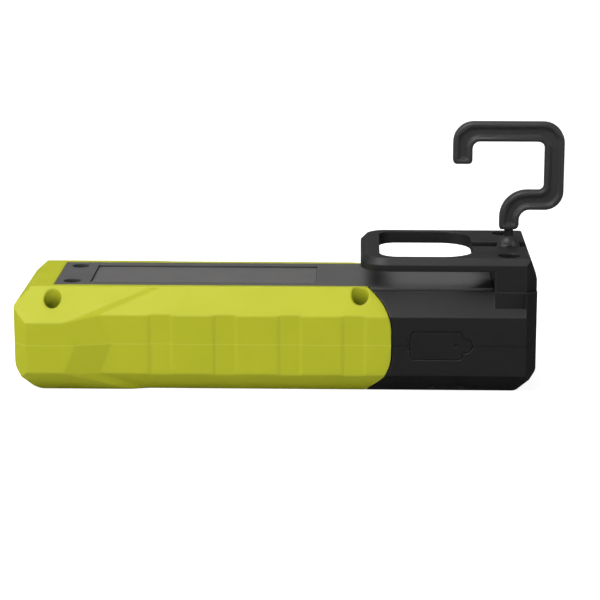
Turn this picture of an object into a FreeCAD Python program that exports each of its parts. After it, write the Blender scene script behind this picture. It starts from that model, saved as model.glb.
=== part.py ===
"""Hand-held inspection work light with a clamshell grip and a swivel hook.

The light lies face down: the front face, with the lens, is the plane z = 0.
The origin is the centre of that face.  +X points to the head, where the
hook is, -X to the tail of the grip, and +Z to the rear of the light.
All sizes are in millimetres.
"""
import FreeCAD
import Part
import math
import os

V = FreeCAD.Vector

# ---------------------------------------------------------------- body size
BODY_LENGTH = 194.8
BODY_HEIGHT = 39.1
BODY_HALF_WIDTH = 30.9
REAR_BEVEL = 9.1            # 45 degree bevel along the rear face
FRONT_BEVEL = 7.6           # 45 degree bevel along the front face
PARTING_Z = 19.1            # where the front and rear shells meet

# Ends of the body, seen from the side and from above.
TAIL_REAR_CORNER = 5.7
TAIL_FRONT_CORNER_X = 7.5
TAIL_FRONT_CORNER_Z = 10.0
TAIL_SIDE_CORNER = 4.8
HEAD_FRONT_CORNER_X = 7.2
HEAD_FRONT_CORNER_Z = 9.0
HEAD_SIDE_CORNER = 4.2
TAIL_ROUND = 6.0
TAIL_REAR_ROUND = 1.5
HEAD_ROUND = 3.0

# ---------------------------------------------------------------- walls, gaps
GRIP_WALL = 2.4             # lime outer shells
CHASSIS_WALL = 2.1          # black chassis inside the grip
HEAD_WALL = 2.4             # black shells of the head
SHELL_GAP = 0.1             # between parts that lie on each other
SEAM_GAP = 0.5              # open line between grip and head
FIT_GAP = 0.05              # running fit, on the radius
INSERT_GAP = 0.15           # around parts that drop into a pocket

# ---------------------------------------------------------------- grip
SEAM_FROM_HEAD = 54.1       # furthest reach of the grip's curved edge
SEAM_SLANT_RUN = 11.8
SEAM_SLANT_RISE = 10.5
SEAM_REAR_DROP = 7.6
SEAM_FRONT_RISE = 8.5
SEAM_ROUND = 16.0
TAIL_PROUD_SIDE = 3.5       # the tail block stands out from the middle
TAIL_PROUD_REAR = 0.7       # its rear flat is wider by this much a side
TAIL_PROUD_FRONT = 1.7
TAIL_REAR_DROP = 2.3        # its bevels reach further down the sides
TAIL_FRONT_RISE = 0.8
STEP_START = 18.8           # from the tail, on the block's side edge
STEP_FOOT = 31.8            # from the tail, on the middle's side edge
STEP_TIP = 36.6             # from the tail, at half height
STEP_REAR_RUN = 23.4        # run of the step over the rear bevel
STEP_FRONT_RUN = 18.0
FLUTE_FROM_HEAD = (140.2, 116.0, 91.8, 67.9)
FLUTE_WIDTH = 9.4
FLUTE_DEPTH = 0.4
FLUTE_FLANK = 1.1
GRIP_SCREW_TAIL = 14.3
GRIP_SCREW_TAIL_SIDE = 8.0  # in from the tail block's side
GRIP_SCREW_HEAD = 65.7
GRIP_SCREW_HEAD_SIDE = 6.9  # in from the body's side
GRIP_BORE_R = 3.2
GRIP_BORE_FLOOR_DROP = 13.0
GRIP_BOSS_R = 4.9
SCREW_HEAD_R = 2.8
SCREW_HEAD_HEIGHT = 2.1
SCREW_SHANK_R = 1.45
SCREW_LENGTH = 16.0
SCREW_SEAT = 2.2
SOCKET_R = 1.2
SOCKET_DEPTH = 1.1

# ---------------------------------------------------------------- rear panel
PANEL_THICKNESS = 2.4
PANEL_TAIL = 14.0
PANEL_SIDE = 2.6            # lime strip beside the panel
PANEL_HEAD_END = 15.9
PANEL_END_GAP = 0.2
PANEL_PROUD = 1.0           # the panel's wide end stands above the head's bevel
PANEL_SCREW_TAIL = 20.1
PANEL_SCREW_Y = 13.0
PANEL_BORE_R = 3.3
PANEL_BOSS_R = 4.6
PANEL_BOSS_DEPTH = 3.2
WINDOW_TAIL = 27.0
WINDOW_LENGTH = 85.4
WINDOW_HALF_WIDTH = 14.5
WINDOW_DEPTH = 1.25
LABEL_THICKNESS = 0.5

# ---------------------------------------------------------------- battery
BAY_TAIL = 31.0
BAY_LENGTH = 75.0
BAY_HALF_WIDTH = 16.0
CELL_R = 9.2
CELL_LENGTH = 65.0
CELL_CAP_R = 3.0
CELL_CAP_HEIGHT = 1.0
CELL_TAIL = 35.5
CELL_SPACING = 19.2
TRAY_WALL = 1.2
TRAY_HEIGHT = 12.0
CONTACT_THICKNESS = 0.5
CONTACT_GAP = 1.2
LEAD_R = 0.8
LEAD_BEND = 4.0

# ---------------------------------------------------------------- head, front
LENS_FROM_HEAD = 15.8       # head side of the front window
LENS_LENGTH = 31.6
LENS_SIDE = 4.5             # in from the edge of the front flat
LENS_CORNER = 5.0
LENS_THICKNESS = 1.8
LENS_LIP = 2.0
LENS_RECESS = 0.9
BEZEL_WIDTH = 1.8
BEZEL_RECESS = 0.4
GASKET_THICKNESS = 0.8
REFLECTOR_DEPTH = 4.0
REFLECTOR_WALL = 0.8
LED_THICKNESS = 0.5
LED_LENGTH = 26.0
LED_HALF_WIDTH = 9.0
LED_BOARD_THICKNESS = 1.6
SINK_BASE = 1.2
SINK_FIN_HEIGHT = 2.6
SINK_FIN_COUNT = 7
SINK_FIN_THICKNESS = 1.0
SINK_MARGIN = 1.5
LED_SCREW_R = 1.0
LED_SCREW_HEAD_R = 1.8
LED_SCREW_HEAD_HEIGHT = 1.2
LED_SCREW_DEPTH = 5.0
LED_BOSS_R = 2.4

# ---------------------------------------------------------------- push button
BUTTON_FROM_HEAD = 55.6
BUTTON_R = 4.0
BUTTON_RECESS = 0.4
BUTTON_FLANGE_R = 4.9
BUTTON_FLANGE = 0.8
BUTTON_STEM_R = 1.6
BUTTON_STEM_TOP = 4.2
BUTTON_TRAVEL = 1.0
BUTTON_STOP_GAP = 0.1
COLLAR_WALL = 1.0
SWITCH_HALF = 3.0
SWITCH_HEIGHT = 3.4
SWITCH_PLUNGER_R = 1.1
SWITCH_PLUNGER = 0.5
SWITCH_BOARD_THICKNESS = 1.2
SWITCH_BOARD_HALF = 8.5
LIGHT_PIPE_R = 1.2
LIGHT_PIPE_SIDE = 12.0

# ---------------------------------------------------------------- charge port
PORT_FROM_HEAD = 37.2       # centre of the cover
PORT_HALF_LENGTH = 9.6
PORT_HALF_HEIGHT = 5.2
PORT_CORNER = 1.6
PORT_THICKNESS = 1.4
PORT_GAP = 0.25
PORT_BACKING = 3.4          # wall behind the cover, from the body's side
PORT_BACKING_RIM = 1.5
PORT_TAB_R = 2.65
PORT_TAB_OFFSET = 0.85
PORT_PLUG_HALF_LENGTH = 4.0
PORT_PLUG_HALF_HEIGHT = 1.1
PORT_PLUG_DEPTH = 1.5
PORT_PLUG_SWING = 0.5
STRAP_LENGTH = 1.4
STRAP_HALF_HEIGHT = 2.0
STRAP_GAP = 0.2
STRAP_PEG_R = 0.4
STRAP_PEG_DEPTH = 1.6
SOCKET_HALF_LENGTH = 4.5
SOCKET_HALF_HEIGHT = 1.6
USB_WALL = 0.35
USB_DEPTH = 7.3
BOARD_THICKNESS = 1.6
BOARD_LENGTH = 40.0
BOARD_SIDE_GAP = 0.4
BOARD_FAR_SIDE = 8.0

# ---------------------------------------------------------------- hook bracket
BRACKET_FROM_HEAD = 65.6    # left end of the ring
BRACKET_SIDE = 2.7          # in from the body's side
RING_GAP = 7.65             # hand and belt gap under the ring
RING_THICKNESS = 4.65
RING_CHAMFER = 2.2
RING_CORNER = 10.0
OPENING_FROM_HEAD = 23.1
OPENING_LENGTH = 35.4
RING_RAIL = 4.8
OPENING_ROUND_TAIL = 7.0
OPENING_ROUND_HEAD = 12.0
FOOT_LENGTH = 15.7
FOOT_END_RUN = 2.6
FOOT_END_DROP = 5.5
FOOT_END_LEAN = 0.6
FOOT_END_ROUND = 4.0
BRACKET_SCREW_FROM_HEAD = 10.2
BRACKET_SCREW_SIDE = 7.7
BRACKET_BORE_R = 4.15
BRACKET_SEAT_DROP = 8.0
BRACKET_SCREW_HEAD_R = 3.3
BRACKET_SCREW_HEAD_HEIGHT = 2.4
BRACKET_SCREW_R = 1.75
BRACKET_SCREW_LENGTH = 34.0
HOUSING_BOSS_R = 3.9

# ---------------------------------------------------------------- swivel hook
PIVOT_FROM_HEAD = 9.3
PIVOT_BELOW_RING_TOP = 1.8
KNUCKLE_R = 4.6
KNUCKLE_FLAT = 4.0
DOME_R = 4.0
DOME_RISE = 1.8             # its centre above the pivot
POCKET_GAP = 0.6
PIN_R = 1.2
PIN_INNER = 2.3
PIN_OUTER = 7.6
WASHER_R = 2.3
WASHER_THICKNESS = 0.5
CHANNEL_HALF_WIDTH = 4.2
CHANNEL_DEPTH = 4.6         # below the pivot
RETAINER_HALF_LENGTH = 5.9
RETAINER_HALF_WIDTH = 8.6
SHANK_R = 1.7
SHANK_LENGTH = 7.9          # pivot to the foot of the hook bar
SHANK_IN_BAR = 5.0
SHANK_TAIL = 1.8            # below the pivot
SHANK_SCREW_HEAD_R = 2.3
SHANK_SCREW_HEAD = 1.0
SHANK_SCREW_R = 0.8
SHANK_SCREW_LENGTH = 4.0
HOOK_BAR = 7.3
HOOK_THICKNESS = 5.5
HOOK_REACH = 16.65          # stem centre to far bar centre
HOOK_MOUTH = 27.3           # inside width of the hook
HOOK_NECK_RISE = 7.6        # foot of the bar to the lower run
HOOK_INSIDE_HEIGHT = 18.8
HOOK_TIP_DROP = 8.6
HOOK_GROOVE_EDGE = 2.1
HOOK_GROOVE_DEPTH = 0.9

# ---------------------------------------------------------------- derived
TAIL = -BODY_LENGTH / 2
HEAD = BODY_LENGTH / 2
REAR_FLAT = BODY_HALF_WIDTH - REAR_BEVEL
FRONT_FLAT = BODY_HALF_WIDTH - FRONT_BEVEL
CHASSIS_INSET = GRIP_WALL + SHELL_GAP
DECK_Z = BODY_HEIGHT - PANEL_THICKNESS - SHELL_GAP
SEAM_X = HEAD - SEAM_FROM_HEAD
FAR = 4 * BODY_LENGTH       # reach of the cutting solids
GRIP_SCREW_ROWS = (
    (TAIL + GRIP_SCREW_TAIL, BODY_HALF_WIDTH + TAIL_PROUD_SIDE - GRIP_SCREW_TAIL_SIDE),
    (HEAD - GRIP_SCREW_HEAD, BODY_HALF_WIDTH - GRIP_SCREW_HEAD_SIDE),
)
GRIP_SCREWS = [(x, side * y) for x, y in GRIP_SCREW_ROWS for side in (-1, 1)]
PANEL_SCREWS = [(TAIL + PANEL_SCREW_TAIL, side * PANEL_SCREW_Y) for side in (-1, 1)]
BRACKET_HALF_WIDTH = BODY_HALF_WIDTH - BRACKET_SIDE
BRACKET_SCREWS = [
    (HEAD - BRACKET_SCREW_FROM_HEAD, side * (BRACKET_HALF_WIDTH - BRACKET_SCREW_SIDE))
    for side in (-1, 1)
]
RING_TOP = BODY_HEIGHT + RING_GAP + RING_THICKNESS
PIVOT = V(HEAD - PIVOT_FROM_HEAD, 0, RING_TOP - PIVOT_BELOW_RING_TOP)
PORT_X = HEAD - PORT_FROM_HEAD
BUTTON_X = HEAD - BUTTON_FROM_HEAD
BOARD_TOP = PARTING_Z - SOCKET_HALF_HEIGHT
LENS_HEAD = HEAD - LENS_FROM_HEAD
LENS_TAIL = LENS_HEAD - LENS_LENGTH
LENS_HALF_WIDTH = FRONT_FLAT - LENS_SIDE


# ================================================================ geometry help
def box(x0, x1, y0, y1, z0, z1):
    """Box between two corners."""
    return Part.makeBox(x1 - x0, y1 - y0, z1 - z0, V(x0, y0, z0))


def rod(radius, start, end):
    """Cylinder from one centre point to the other."""
    axis = end - start
    return Part.makeCylinder(radius, axis.Length, start, axis)


def post(radius, x, y, z0, z1):
    """Upright cylinder."""
    return rod(radius, V(x, y, z0), V(x, y, z1))


def inset_points(points, inset):
    """Move every side of a closed outline inwards; corners are (u, v, radius)."""
    moved = []
    for i, (u, v, radius) in enumerate(points):
        before = points[i - 1]
        after = points[(i + 1) % len(points)]
        d1 = V(u - before[0], v - before[1], 0).normalize()
        d2 = V(after[0] - u, after[1] - v, 0).normalize()
        n1 = V(-d1.y, d1.x, 0)
        n2 = V(-d2.y, d2.x, 0)
        shift = (n1 + n2) * (inset / (1 + n1.dot(n2)))
        moved.append((u + shift.x, v + shift.y, max(radius - inset, 0)))
    return moved


def outline_face(points, place):
    """Flat face whose corners are (u, v, radius); place turns u, v into space."""
    corners = []
    for i, (u, v, radius) in enumerate(points):
        before = points[i - 1]
        after = points[(i + 1) % len(points)]
        here = V(u, v, 0)
        d1 = V(u - before[0], v - before[1], 0).normalize()
        d2 = V(after[0] - u, after[1] - v, 0).normalize()
        half_turn = d1.getAngle(d2) / 2
        cut = radius * math.tan(half_turn)
        bisector = d2 - d1
        if radius > 0:
            bisector.normalize()
        middle = here + bisector * (radius / math.cos(half_turn) - radius)
        corners.append((here - d1 * cut, middle, here + d2 * cut, radius))
    edges = []
    for i, (start, middle, end, radius) in enumerate(corners):
        if radius > 0:
            edges.append(Part.Arc(place(start), place(middle), place(end)).toShape())
        following = corners[(i + 1) % len(corners)][0]
        if (following - end).Length > 1e-6:
            edges.append(Part.makeLine(place(end), place(following)))
    return Part.Face(Part.Wire(edges))


def prism_x(points, x0, x1):
    """Outline in Y and Z, drawn out along X."""
    face = outline_face(points, lambda p: V(x0, p.x, p.y))
    return face.extrude(V(x1 - x0, 0, 0))


def prism_y(points, y0, y1):
    """Outline in X and Z, drawn out along Y."""
    face = outline_face(points, lambda p: V(p.x, y0, p.y))
    return face.extrude(V(0, y1 - y0, 0))


def prism_z(points, z0, z1):
    """Outline in X and Y, drawn out along Z."""
    face = outline_face(points, lambda p: V(p.x, p.y, z0))
    return face.extrude(V(0, 0, z1 - z0))


def rectangle(u0, u1, v0, v1, radius=0.0):
    """Corners of a rectangle, counter-clockwise."""
    return [(u0, v0, radius), (u1, v0, radius), (u1, v1, radius), (u0, v1, radius)]


def beyond_plane(a, b, c, outward):
    """Large solid on the outward side of the plane through three points."""
    normal = (b - a).cross(c - a).normalize()
    if normal.dot(outward) < 0:
        normal = normal * -1
    along = (b - a).normalize()
    across = normal.cross(along)
    start = a - along * (FAR / 2) - across * (FAR / 2)
    corners = [start, start + along * FAR, start + along * FAR + across * FAR, start + across * FAR]
    face = Part.Face(Part.makePolygon(corners + [start]))
    return face.extrude(normal * FAR)


def mirrored(shape, normal):
    """The shape with its mirror image about the plane through the origin."""
    return [shape, shape.mirror(V(0, 0, 0), normal)]


def joined(shapes):
    """One shape from several that touch."""
    first, *others = shapes
    return first.fuse(others).removeSplitter()


def lower_half(shape):
    """The part in front of the parting plane."""
    return shape.common(box(-FAR, FAR, -FAR, FAR, -FAR, PARTING_Z))


def upper_half(shape):
    """The part behind the parting plane."""
    return shape.common(box(-FAR, FAR, -FAR, FAR, PARTING_Z, FAR))


# ================================================================ body envelope
def section_points(proud=False):
    """Eight-sided section of the body, or of its wider tail block."""
    half = BODY_HALF_WIDTH + proud * TAIL_PROUD_SIDE
    front = FRONT_FLAT + proud * TAIL_PROUD_FRONT
    rear = REAR_FLAT + proud * TAIL_PROUD_REAR
    front_z = FRONT_BEVEL + proud * TAIL_FRONT_RISE
    rear_z = BODY_HEIGHT - REAR_BEVEL - proud * TAIL_REAR_DROP
    return [
        (-front, 0, 0), (front, 0, 0), (half, front_z, 0), (half, rear_z, 0),
        (rear, BODY_HEIGHT, 0), (-rear, BODY_HEIGHT, 0), (-half, rear_z, 0), (-half, front_z, 0),
    ]


def side_points():
    """Outline of the body seen from the side, X and Z."""
    return [
        (TAIL + TAIL_FRONT_CORNER_X, 0, TAIL_ROUND),
        (HEAD - HEAD_FRONT_CORNER_X, 0, HEAD_ROUND),
        (HEAD, HEAD_FRONT_CORNER_Z, HEAD_ROUND),
        (HEAD, BODY_HEIGHT, 0),
        (TAIL + TAIL_REAR_CORNER, BODY_HEIGHT, TAIL_REAR_ROUND),
        (TAIL, BODY_HEIGHT - TAIL_REAR_CORNER, TAIL_REAR_ROUND),
        (TAIL, TAIL_FRONT_CORNER_Z, TAIL_ROUND),
    ]


def plan_points(proud=False):
    """Outline of the body seen from behind, X and Y."""
    half = BODY_HALF_WIDTH + proud * TAIL_PROUD_SIDE
    return [
        (TAIL + TAIL_SIDE_CORNER, -half, 0), (HEAD - HEAD_SIDE_CORNER, -half, 0),
        (HEAD, HEAD_SIDE_CORNER - half, 0), (HEAD, half - HEAD_SIDE_CORNER, 0),
        (HEAD - HEAD_SIDE_CORNER, half, 0), (TAIL + TAIL_SIDE_CORNER, half, 0),
        (TAIL, half - TAIL_SIDE_CORNER, 0), (TAIL, TAIL_SIDE_CORNER - half, 0),
    ]


def envelope(inset=0.0, proud=False):
    """Whole body as one solid, with every face moved in by inset."""
    section = prism_x(inset_points(section_points(proud), inset), -FAR, FAR)
    profile = prism_y(inset_points(side_points(), inset), -FAR, FAR)
    plan = prism_z(inset_points(plan_points(proud), inset), -FAR, FAR)
    return section.common(profile).common(plan)


def end_block():
    """Upright-sided end of the head, which stands beyond the rear bevels."""
    front = [(y, z, 0) for y, z, _ in section_points()[:3]]
    half = BODY_HALF_WIDTH
    section = front + [(half, BODY_HEIGHT, 0), (-half, BODY_HEIGHT, 0), (-half, FRONT_BEVEL, 0)]
    block = prism_x(section, HEAD - HEAD_SIDE_CORNER, HEAD)
    profile = prism_y(side_points(), -FAR, FAR)
    return block.common(profile).common(prism_z(plan_points(), -FAR, FAR))


def grip_region(offset=0.0):
    """Everything on the grip's side of its curved edge."""
    rear_corner = BODY_HEIGHT - SEAM_REAR_DROP
    run = 2 * SEAM_SLANT_RUN
    rise = 2 * SEAM_SLANT_RISE
    points = [
        (-FAR, SEAM_FRONT_RISE - rise, 0),
        (SEAM_X - run + offset, SEAM_FRONT_RISE - rise, 0),
        (SEAM_X + offset, SEAM_FRONT_RISE, SEAM_ROUND),
        (SEAM_X + offset, rear_corner, SEAM_ROUND),
        (SEAM_X - run + offset, rear_corner + rise, 0),
        (-FAR, rear_corner + rise, 0),
    ]
    return prism_y(points, -FAR, FAR)


def seam_at_rear():
    """X of the grip's curved edge where it meets the rear face."""
    return SEAM_X - SEAM_REAR_DROP * SEAM_SLANT_RUN / SEAM_SLANT_RISE


# ================================================================ grip shells
def tail_block():
    """Block at the tail that stands proud, ending in slanted facets."""
    block = envelope(proud=True)
    half = BODY_HALF_WIDTH
    proud = half + TAIL_PROUD_SIDE
    tip = V(TAIL + STEP_TIP, half, PARTING_Z)
    rear_z = BODY_HEIGHT - REAR_BEVEL
    levels = (
        (rear_z - TAIL_REAR_DROP, rear_z, REAR_FLAT, BODY_HEIGHT, STEP_REAR_RUN, upper_half),
        (FRONT_BEVEL + TAIL_FRONT_RISE, FRONT_BEVEL, FRONT_FLAT, 0.0, STEP_FRONT_RUN, lower_half),
    )
    for start_z, foot_z, flat, flat_z, run, keep in levels:
        start = V(TAIL + STEP_START, proud, start_z)
        foot = V(TAIL + STEP_FOOT, half, foot_z)
        top = V(TAIL + STEP_FOOT + run, flat, flat_z)
        slope_cut = beyond_plane(start, foot, top, V(1, 0.5, 0))
        side_cut = beyond_plane(start, foot, tip, V(1, 0.5, 0))
        for cutter in (slope_cut, side_cut):
            for one in mirrored(keep(cutter), V(0, 1, 0)):
                block = block.cut(one)
    return block


def flutes():
    """Shallow finger flutes across the sides of the grip."""
    cutters = []
    half = BODY_HALF_WIDTH
    for from_head in FLUTE_FROM_HEAD:
        centre = HEAD - from_head
        inner = FLUTE_WIDTH / 2 - FLUTE_FLANK
        outer = FLUTE_WIDTH / 2
        points = [
            (centre - inner, half - FLUTE_DEPTH, 0), (centre + inner, half - FLUTE_DEPTH, 0),
            (centre + outer, half, 0), (centre + outer, half + FLUTE_DEPTH, 0),
            (centre - outer, half + FLUTE_DEPTH, 0), (centre - outer, half, 0),
        ]
        cutters += mirrored(prism_z(points, 0, BODY_HEIGHT), V(0, 1, 0))
    return cutters


def grip_shell():
    """Both lime shells as one hollow body, before they are parted."""
    outer = joined([envelope().cut(flutes()), tail_block()])
    shell = outer.cut(envelope(GRIP_WALL))
    bosses = [post(GRIP_BOSS_R, x, y, 0, BODY_HEIGHT).common(outer) for x, y in GRIP_SCREWS]
    shell = joined([shell] + bosses).common(grip_region())
    half = REAR_FLAT - PANEL_SIDE + INSERT_GAP
    opening = box(TAIL + PANEL_TAIL - INSERT_GAP, HEAD, -half, half, DECK_Z - GRIP_WALL, FAR)
    wide = panel_pocket_half()
    head_end = box(seam_at_rear(), HEAD, -wide, wide, DECK_Z, FAR)
    return shell.cut(opening).cut(head_end)


def grip_rear():
    """Rear lime shell with four deep screw holes."""
    shell = upper_half(grip_shell())
    floor = BODY_HEIGHT - GRIP_BORE_FLOOR_DROP
    for x, y in GRIP_SCREWS:
        shell = shell.cut(post(GRIP_BORE_R, x, y, floor, FAR))
        shell = shell.cut(post(SCREW_SHANK_R + INSERT_GAP, x, y, 0, floor))
    return shell


def grip_front():
    """Front lime shell with four screw pillars."""
    shell = lower_half(grip_shell())
    tip = BODY_HEIGHT - GRIP_BORE_FLOOR_DROP - SCREW_LENGTH
    for x, y in GRIP_SCREWS:
        shell = shell.cut(post(SCREW_SHANK_R, x, y, tip, PARTING_Z))
    return shell


def screw(x, y, seat_z, head_r, head_height, shank_r, length):
    """Socket head screw, head up, with its seat at seat_z."""
    body = post(head_r, x, y, seat_z, seat_z + head_height)
    body = body.fuse(post(shank_r, x, y, seat_z - length, seat_z)).removeSplitter()
    top = seat_z + head_height
    drive = [
        (x + SOCKET_R * math.cos(math.radians(60 * k)), y + SOCKET_R * math.sin(math.radians(60 * k)), 0)
        for k in range(6)
    ]
    return body.cut(prism_z(drive, top - SOCKET_DEPTH, top + 1))


def grip_screws():
    """Four screws that draw the lime shells together."""
    seat = BODY_HEIGHT - GRIP_BORE_FLOOR_DROP
    return [
        screw(x, y, seat, SCREW_HEAD_R, SCREW_HEAD_HEIGHT, SCREW_SHANK_R, SCREW_LENGTH)
        for x, y in GRIP_SCREWS
    ]


# ================================================================ black housings
def cavity():
    """Space inside the chassis and the head."""
    grip_part = envelope(CHASSIS_INSET + CHASSIS_WALL)
    head_part = envelope(HEAD_WALL).common(box(SEAM_X + HEAD_WALL, FAR, -FAR, FAR, -FAR, FAR))
    ceiling = box(-FAR, FAR, -FAR, FAR, -FAR, DECK_Z - CHASSIS_WALL)
    return grip_part.fuse(head_part).common(ceiling)


def foot_boss():
    """Raised pad on the head that carries the bracket's foot."""
    plan = foot_plan(FOOT_LENGTH)
    bottom = BODY_HEIGHT - REAR_BEVEL - 1.0
    return prism_z(plan, bottom, BODY_HEIGHT)


def foot_plan(length):
    """Outline of the foot and its pad, X and Y."""
    half = BRACKET_HALF_WIDTH
    corner = HEAD_SIDE_CORNER
    return [
        (HEAD - length, -half, 0), (HEAD - corner, -half, 0), (HEAD, corner - half, 0),
        (HEAD, half - corner, 0), (HEAD - corner, half, 0), (HEAD - length, half, 0),
    ]


def chassis():
    """Both black housings as one hollow body, before they are parted."""
    head_skin = envelope().cut(grip_region(SEAM_GAP))
    solid = joined([head_skin, envelope(CHASSIS_INSET), foot_boss(), end_block()])
    shell = solid.cut(cavity())
    pillars = [
        post(GRIP_BOSS_R + SHELL_GAP + CHASSIS_WALL, x, y, 0, BODY_HEIGHT) for x, y in GRIP_SCREWS
    ]
    pillars += [post(HOUSING_BOSS_R, x, y, 0, BODY_HEIGHT) for x, y in BRACKET_SCREWS]
    pillars += [
        post(PANEL_BOSS_R + SHELL_GAP + CHASSIS_WALL, x, y, PARTING_Z + 6.0, BODY_HEIGHT)
        for x, y in PANEL_SCREWS
    ]
    shell = joined([shell] + [pillar.common(solid) for pillar in pillars])
    for x, y in GRIP_SCREWS:
        notch = post(GRIP_BOSS_R + SHELL_GAP, x, y, -1, FAR).common(grip_region(SEAM_GAP))
        shell = shell.cut(notch)
    return shell.cut(panel_pocket())


def panel_pocket_half():
    """Half width of the recess round the wide end of the rear panel."""
    return REAR_FLAT + INSERT_GAP


def panel_pocket():
    """Recess in the head that takes the wide end of the rear panel."""
    half = panel_pocket_half()
    end = HEAD - PANEL_HEAD_END + PANEL_END_GAP
    recess = box(-FAR, end, -half, half, DECK_Z, FAR)
    return recess.fuse(box(-FAR, end, -FAR, FAR, BODY_HEIGHT - PANEL_PROUD, FAR))


def port_recess():
    """Pocket for the rubber port cover, its strap and its plug."""
    face = -BODY_HALF_WIDTH
    gap = PORT_GAP
    cover = rectangle(
        PORT_X - PORT_HALF_LENGTH - gap, PORT_X + PORT_HALF_LENGTH + gap,
        PARTING_Z - PORT_HALF_HEIGHT - gap, PARTING_Z + PORT_HALF_HEIGHT + gap, PORT_CORNER + gap)
    pocket = prism_y(cover, face - 1, face + PORT_THICKNESS + SHELL_GAP)
    tab_x = PORT_X + PORT_HALF_LENGTH + PORT_TAB_OFFSET
    tab = rod(PORT_TAB_R + gap, V(tab_x, face - 1, PARTING_Z), V(tab_x, face + PORT_THICKNESS + SHELL_GAP, PARTING_Z))
    strap_end = PORT_X - PORT_HALF_LENGTH - STRAP_LENGTH
    strap = box(strap_end - SHELL_GAP, PORT_X, face - 1, face + PORT_THICKNESS + SHELL_GAP,
                PARTING_Z - STRAP_HALF_HEIGHT - SHELL_GAP, PARTING_Z + STRAP_HALF_HEIGHT + SHELL_GAP)
    hole = box(PORT_X - SOCKET_HALF_LENGTH - INSERT_GAP, PORT_X + SOCKET_HALF_LENGTH + PORT_PLUG_SWING,
               face, face + PORT_THICKNESS + 2 * HEAD_WALL,
               PARTING_Z - SOCKET_HALF_HEIGHT - INSERT_GAP, PARTING_Z + SOCKET_HALF_HEIGHT + INSERT_GAP)
    peg_x = strap_end + STRAP_LENGTH / 2
    peg = rod(STRAP_PEG_R, V(peg_x, face, PARTING_Z), V(peg_x, face + PORT_THICKNESS + STRAP_PEG_DEPTH, PARTING_Z))
    return joined([pocket, tab, strap, hole, peg])


def port_backing():
    """Thicker wall behind the port cover."""
    face = -BODY_HALF_WIDTH
    rim = PORT_BACKING_RIM
    start = PORT_X - PORT_HALF_LENGTH - STRAP_LENGTH - rim
    end = PORT_X + PORT_HALF_LENGTH + PORT_TAB_R + rim
    half = PORT_HALF_HEIGHT + rim
    return box(start, end, face + HEAD_WALL / 2, face + PORT_BACKING, PARTING_Z - half, PARTING_Z + half)


def lens_pocket_points(inset=0.0):
    """Outline of the front window, X and Y."""
    points = rectangle(LENS_TAIL, LENS_HEAD, -LENS_HALF_WIDTH, LENS_HALF_WIDTH, LENS_CORNER)
    return inset_points(points, inset)


def led_posts():
    """Places of the four posts that carry the LED board."""
    x0 = LENS_TAIL + LED_BOSS_R
    x1 = LENS_HEAD - LED_BOSS_R - 10.0
    y = LENS_HALF_WIDTH + LENS_LIP + LED_BOSS_R
    return [(x, side * y) for x in (x0 + 6.0, x1) for side in (-1, 1)]


def led_board_z():
    """Underside of the LED board."""
    return HEAD_WALL + LENS_THICKNESS + GASKET_THICKNESS + REFLECTOR_DEPTH


def front_housing():
    """Front black shell with the window, the button hole and the posts."""
    posts = [post(LED_BOSS_R, x, y, 1.0, led_board_z()) for x, y in led_posts()]
    shell = joined([chassis(), port_backing().common(envelope())] + posts)
    shell = lower_half(shell).cut(prism_z(lens_pocket_points(), -1, HEAD_WALL + 0.01))
    shell = shell.cut(port_recess())
    shell = shell.cut(post(BUTTON_R + INSERT_GAP, BUTTON_X, 0, -1, 2 * HEAD_WALL))
    floor = box(SEAM_X - 12.0, SEAM_X + HEAD_WALL + 1.0, -SWITCH_BOARD_HALF - 4.5,
                SWITCH_BOARD_HALF + 4.5, HEAD_WALL, 3 * HEAD_WALL)
    shell = shell.cut(floor)
    shell = shell.cut(post(LIGHT_PIPE_R, BUTTON_X, LIGHT_PIPE_SIDE, -1, 3 * HEAD_WALL))
    for x, y in led_posts():
        shell = shell.cut(post(LED_SCREW_R, x, y, led_board_z() - LED_SCREW_DEPTH, FAR))
    tip = bracket_seat() - BRACKET_SCREW_LENGTH
    for x, y in BRACKET_SCREWS:
        shell = shell.cut(post(BRACKET_SCREW_R, x, y, tip, FAR))
    return shell


def rear_housing():
    """Rear black shell with the battery bay and the pad for the bracket."""
    shell = joined([chassis(), port_backing().common(envelope())])
    shell = upper_half(shell).cut(port_recess())
    bay = box(TAIL + BAY_TAIL, TAIL + BAY_TAIL + BAY_LENGTH, -BAY_HALF_WIDTH, BAY_HALF_WIDTH,
              PARTING_Z + 1.0, FAR)
    shell = shell.cut(bay)
    seat = DECK_Z - PANEL_BOSS_DEPTH
    for x, y in PANEL_SCREWS:
        shell = shell.cut(post(PANEL_BOSS_R + SHELL_GAP, x, y, seat, FAR))
        shell = shell.cut(post(SCREW_SHANK_R, x, y, seat - SCREW_LENGTH / 2, seat))
    for x, y in BRACKET_SCREWS:
        shell = shell.cut(post(BRACKET_SCREW_R + INSERT_GAP, x, y, 0, FAR))
    return shell


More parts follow.
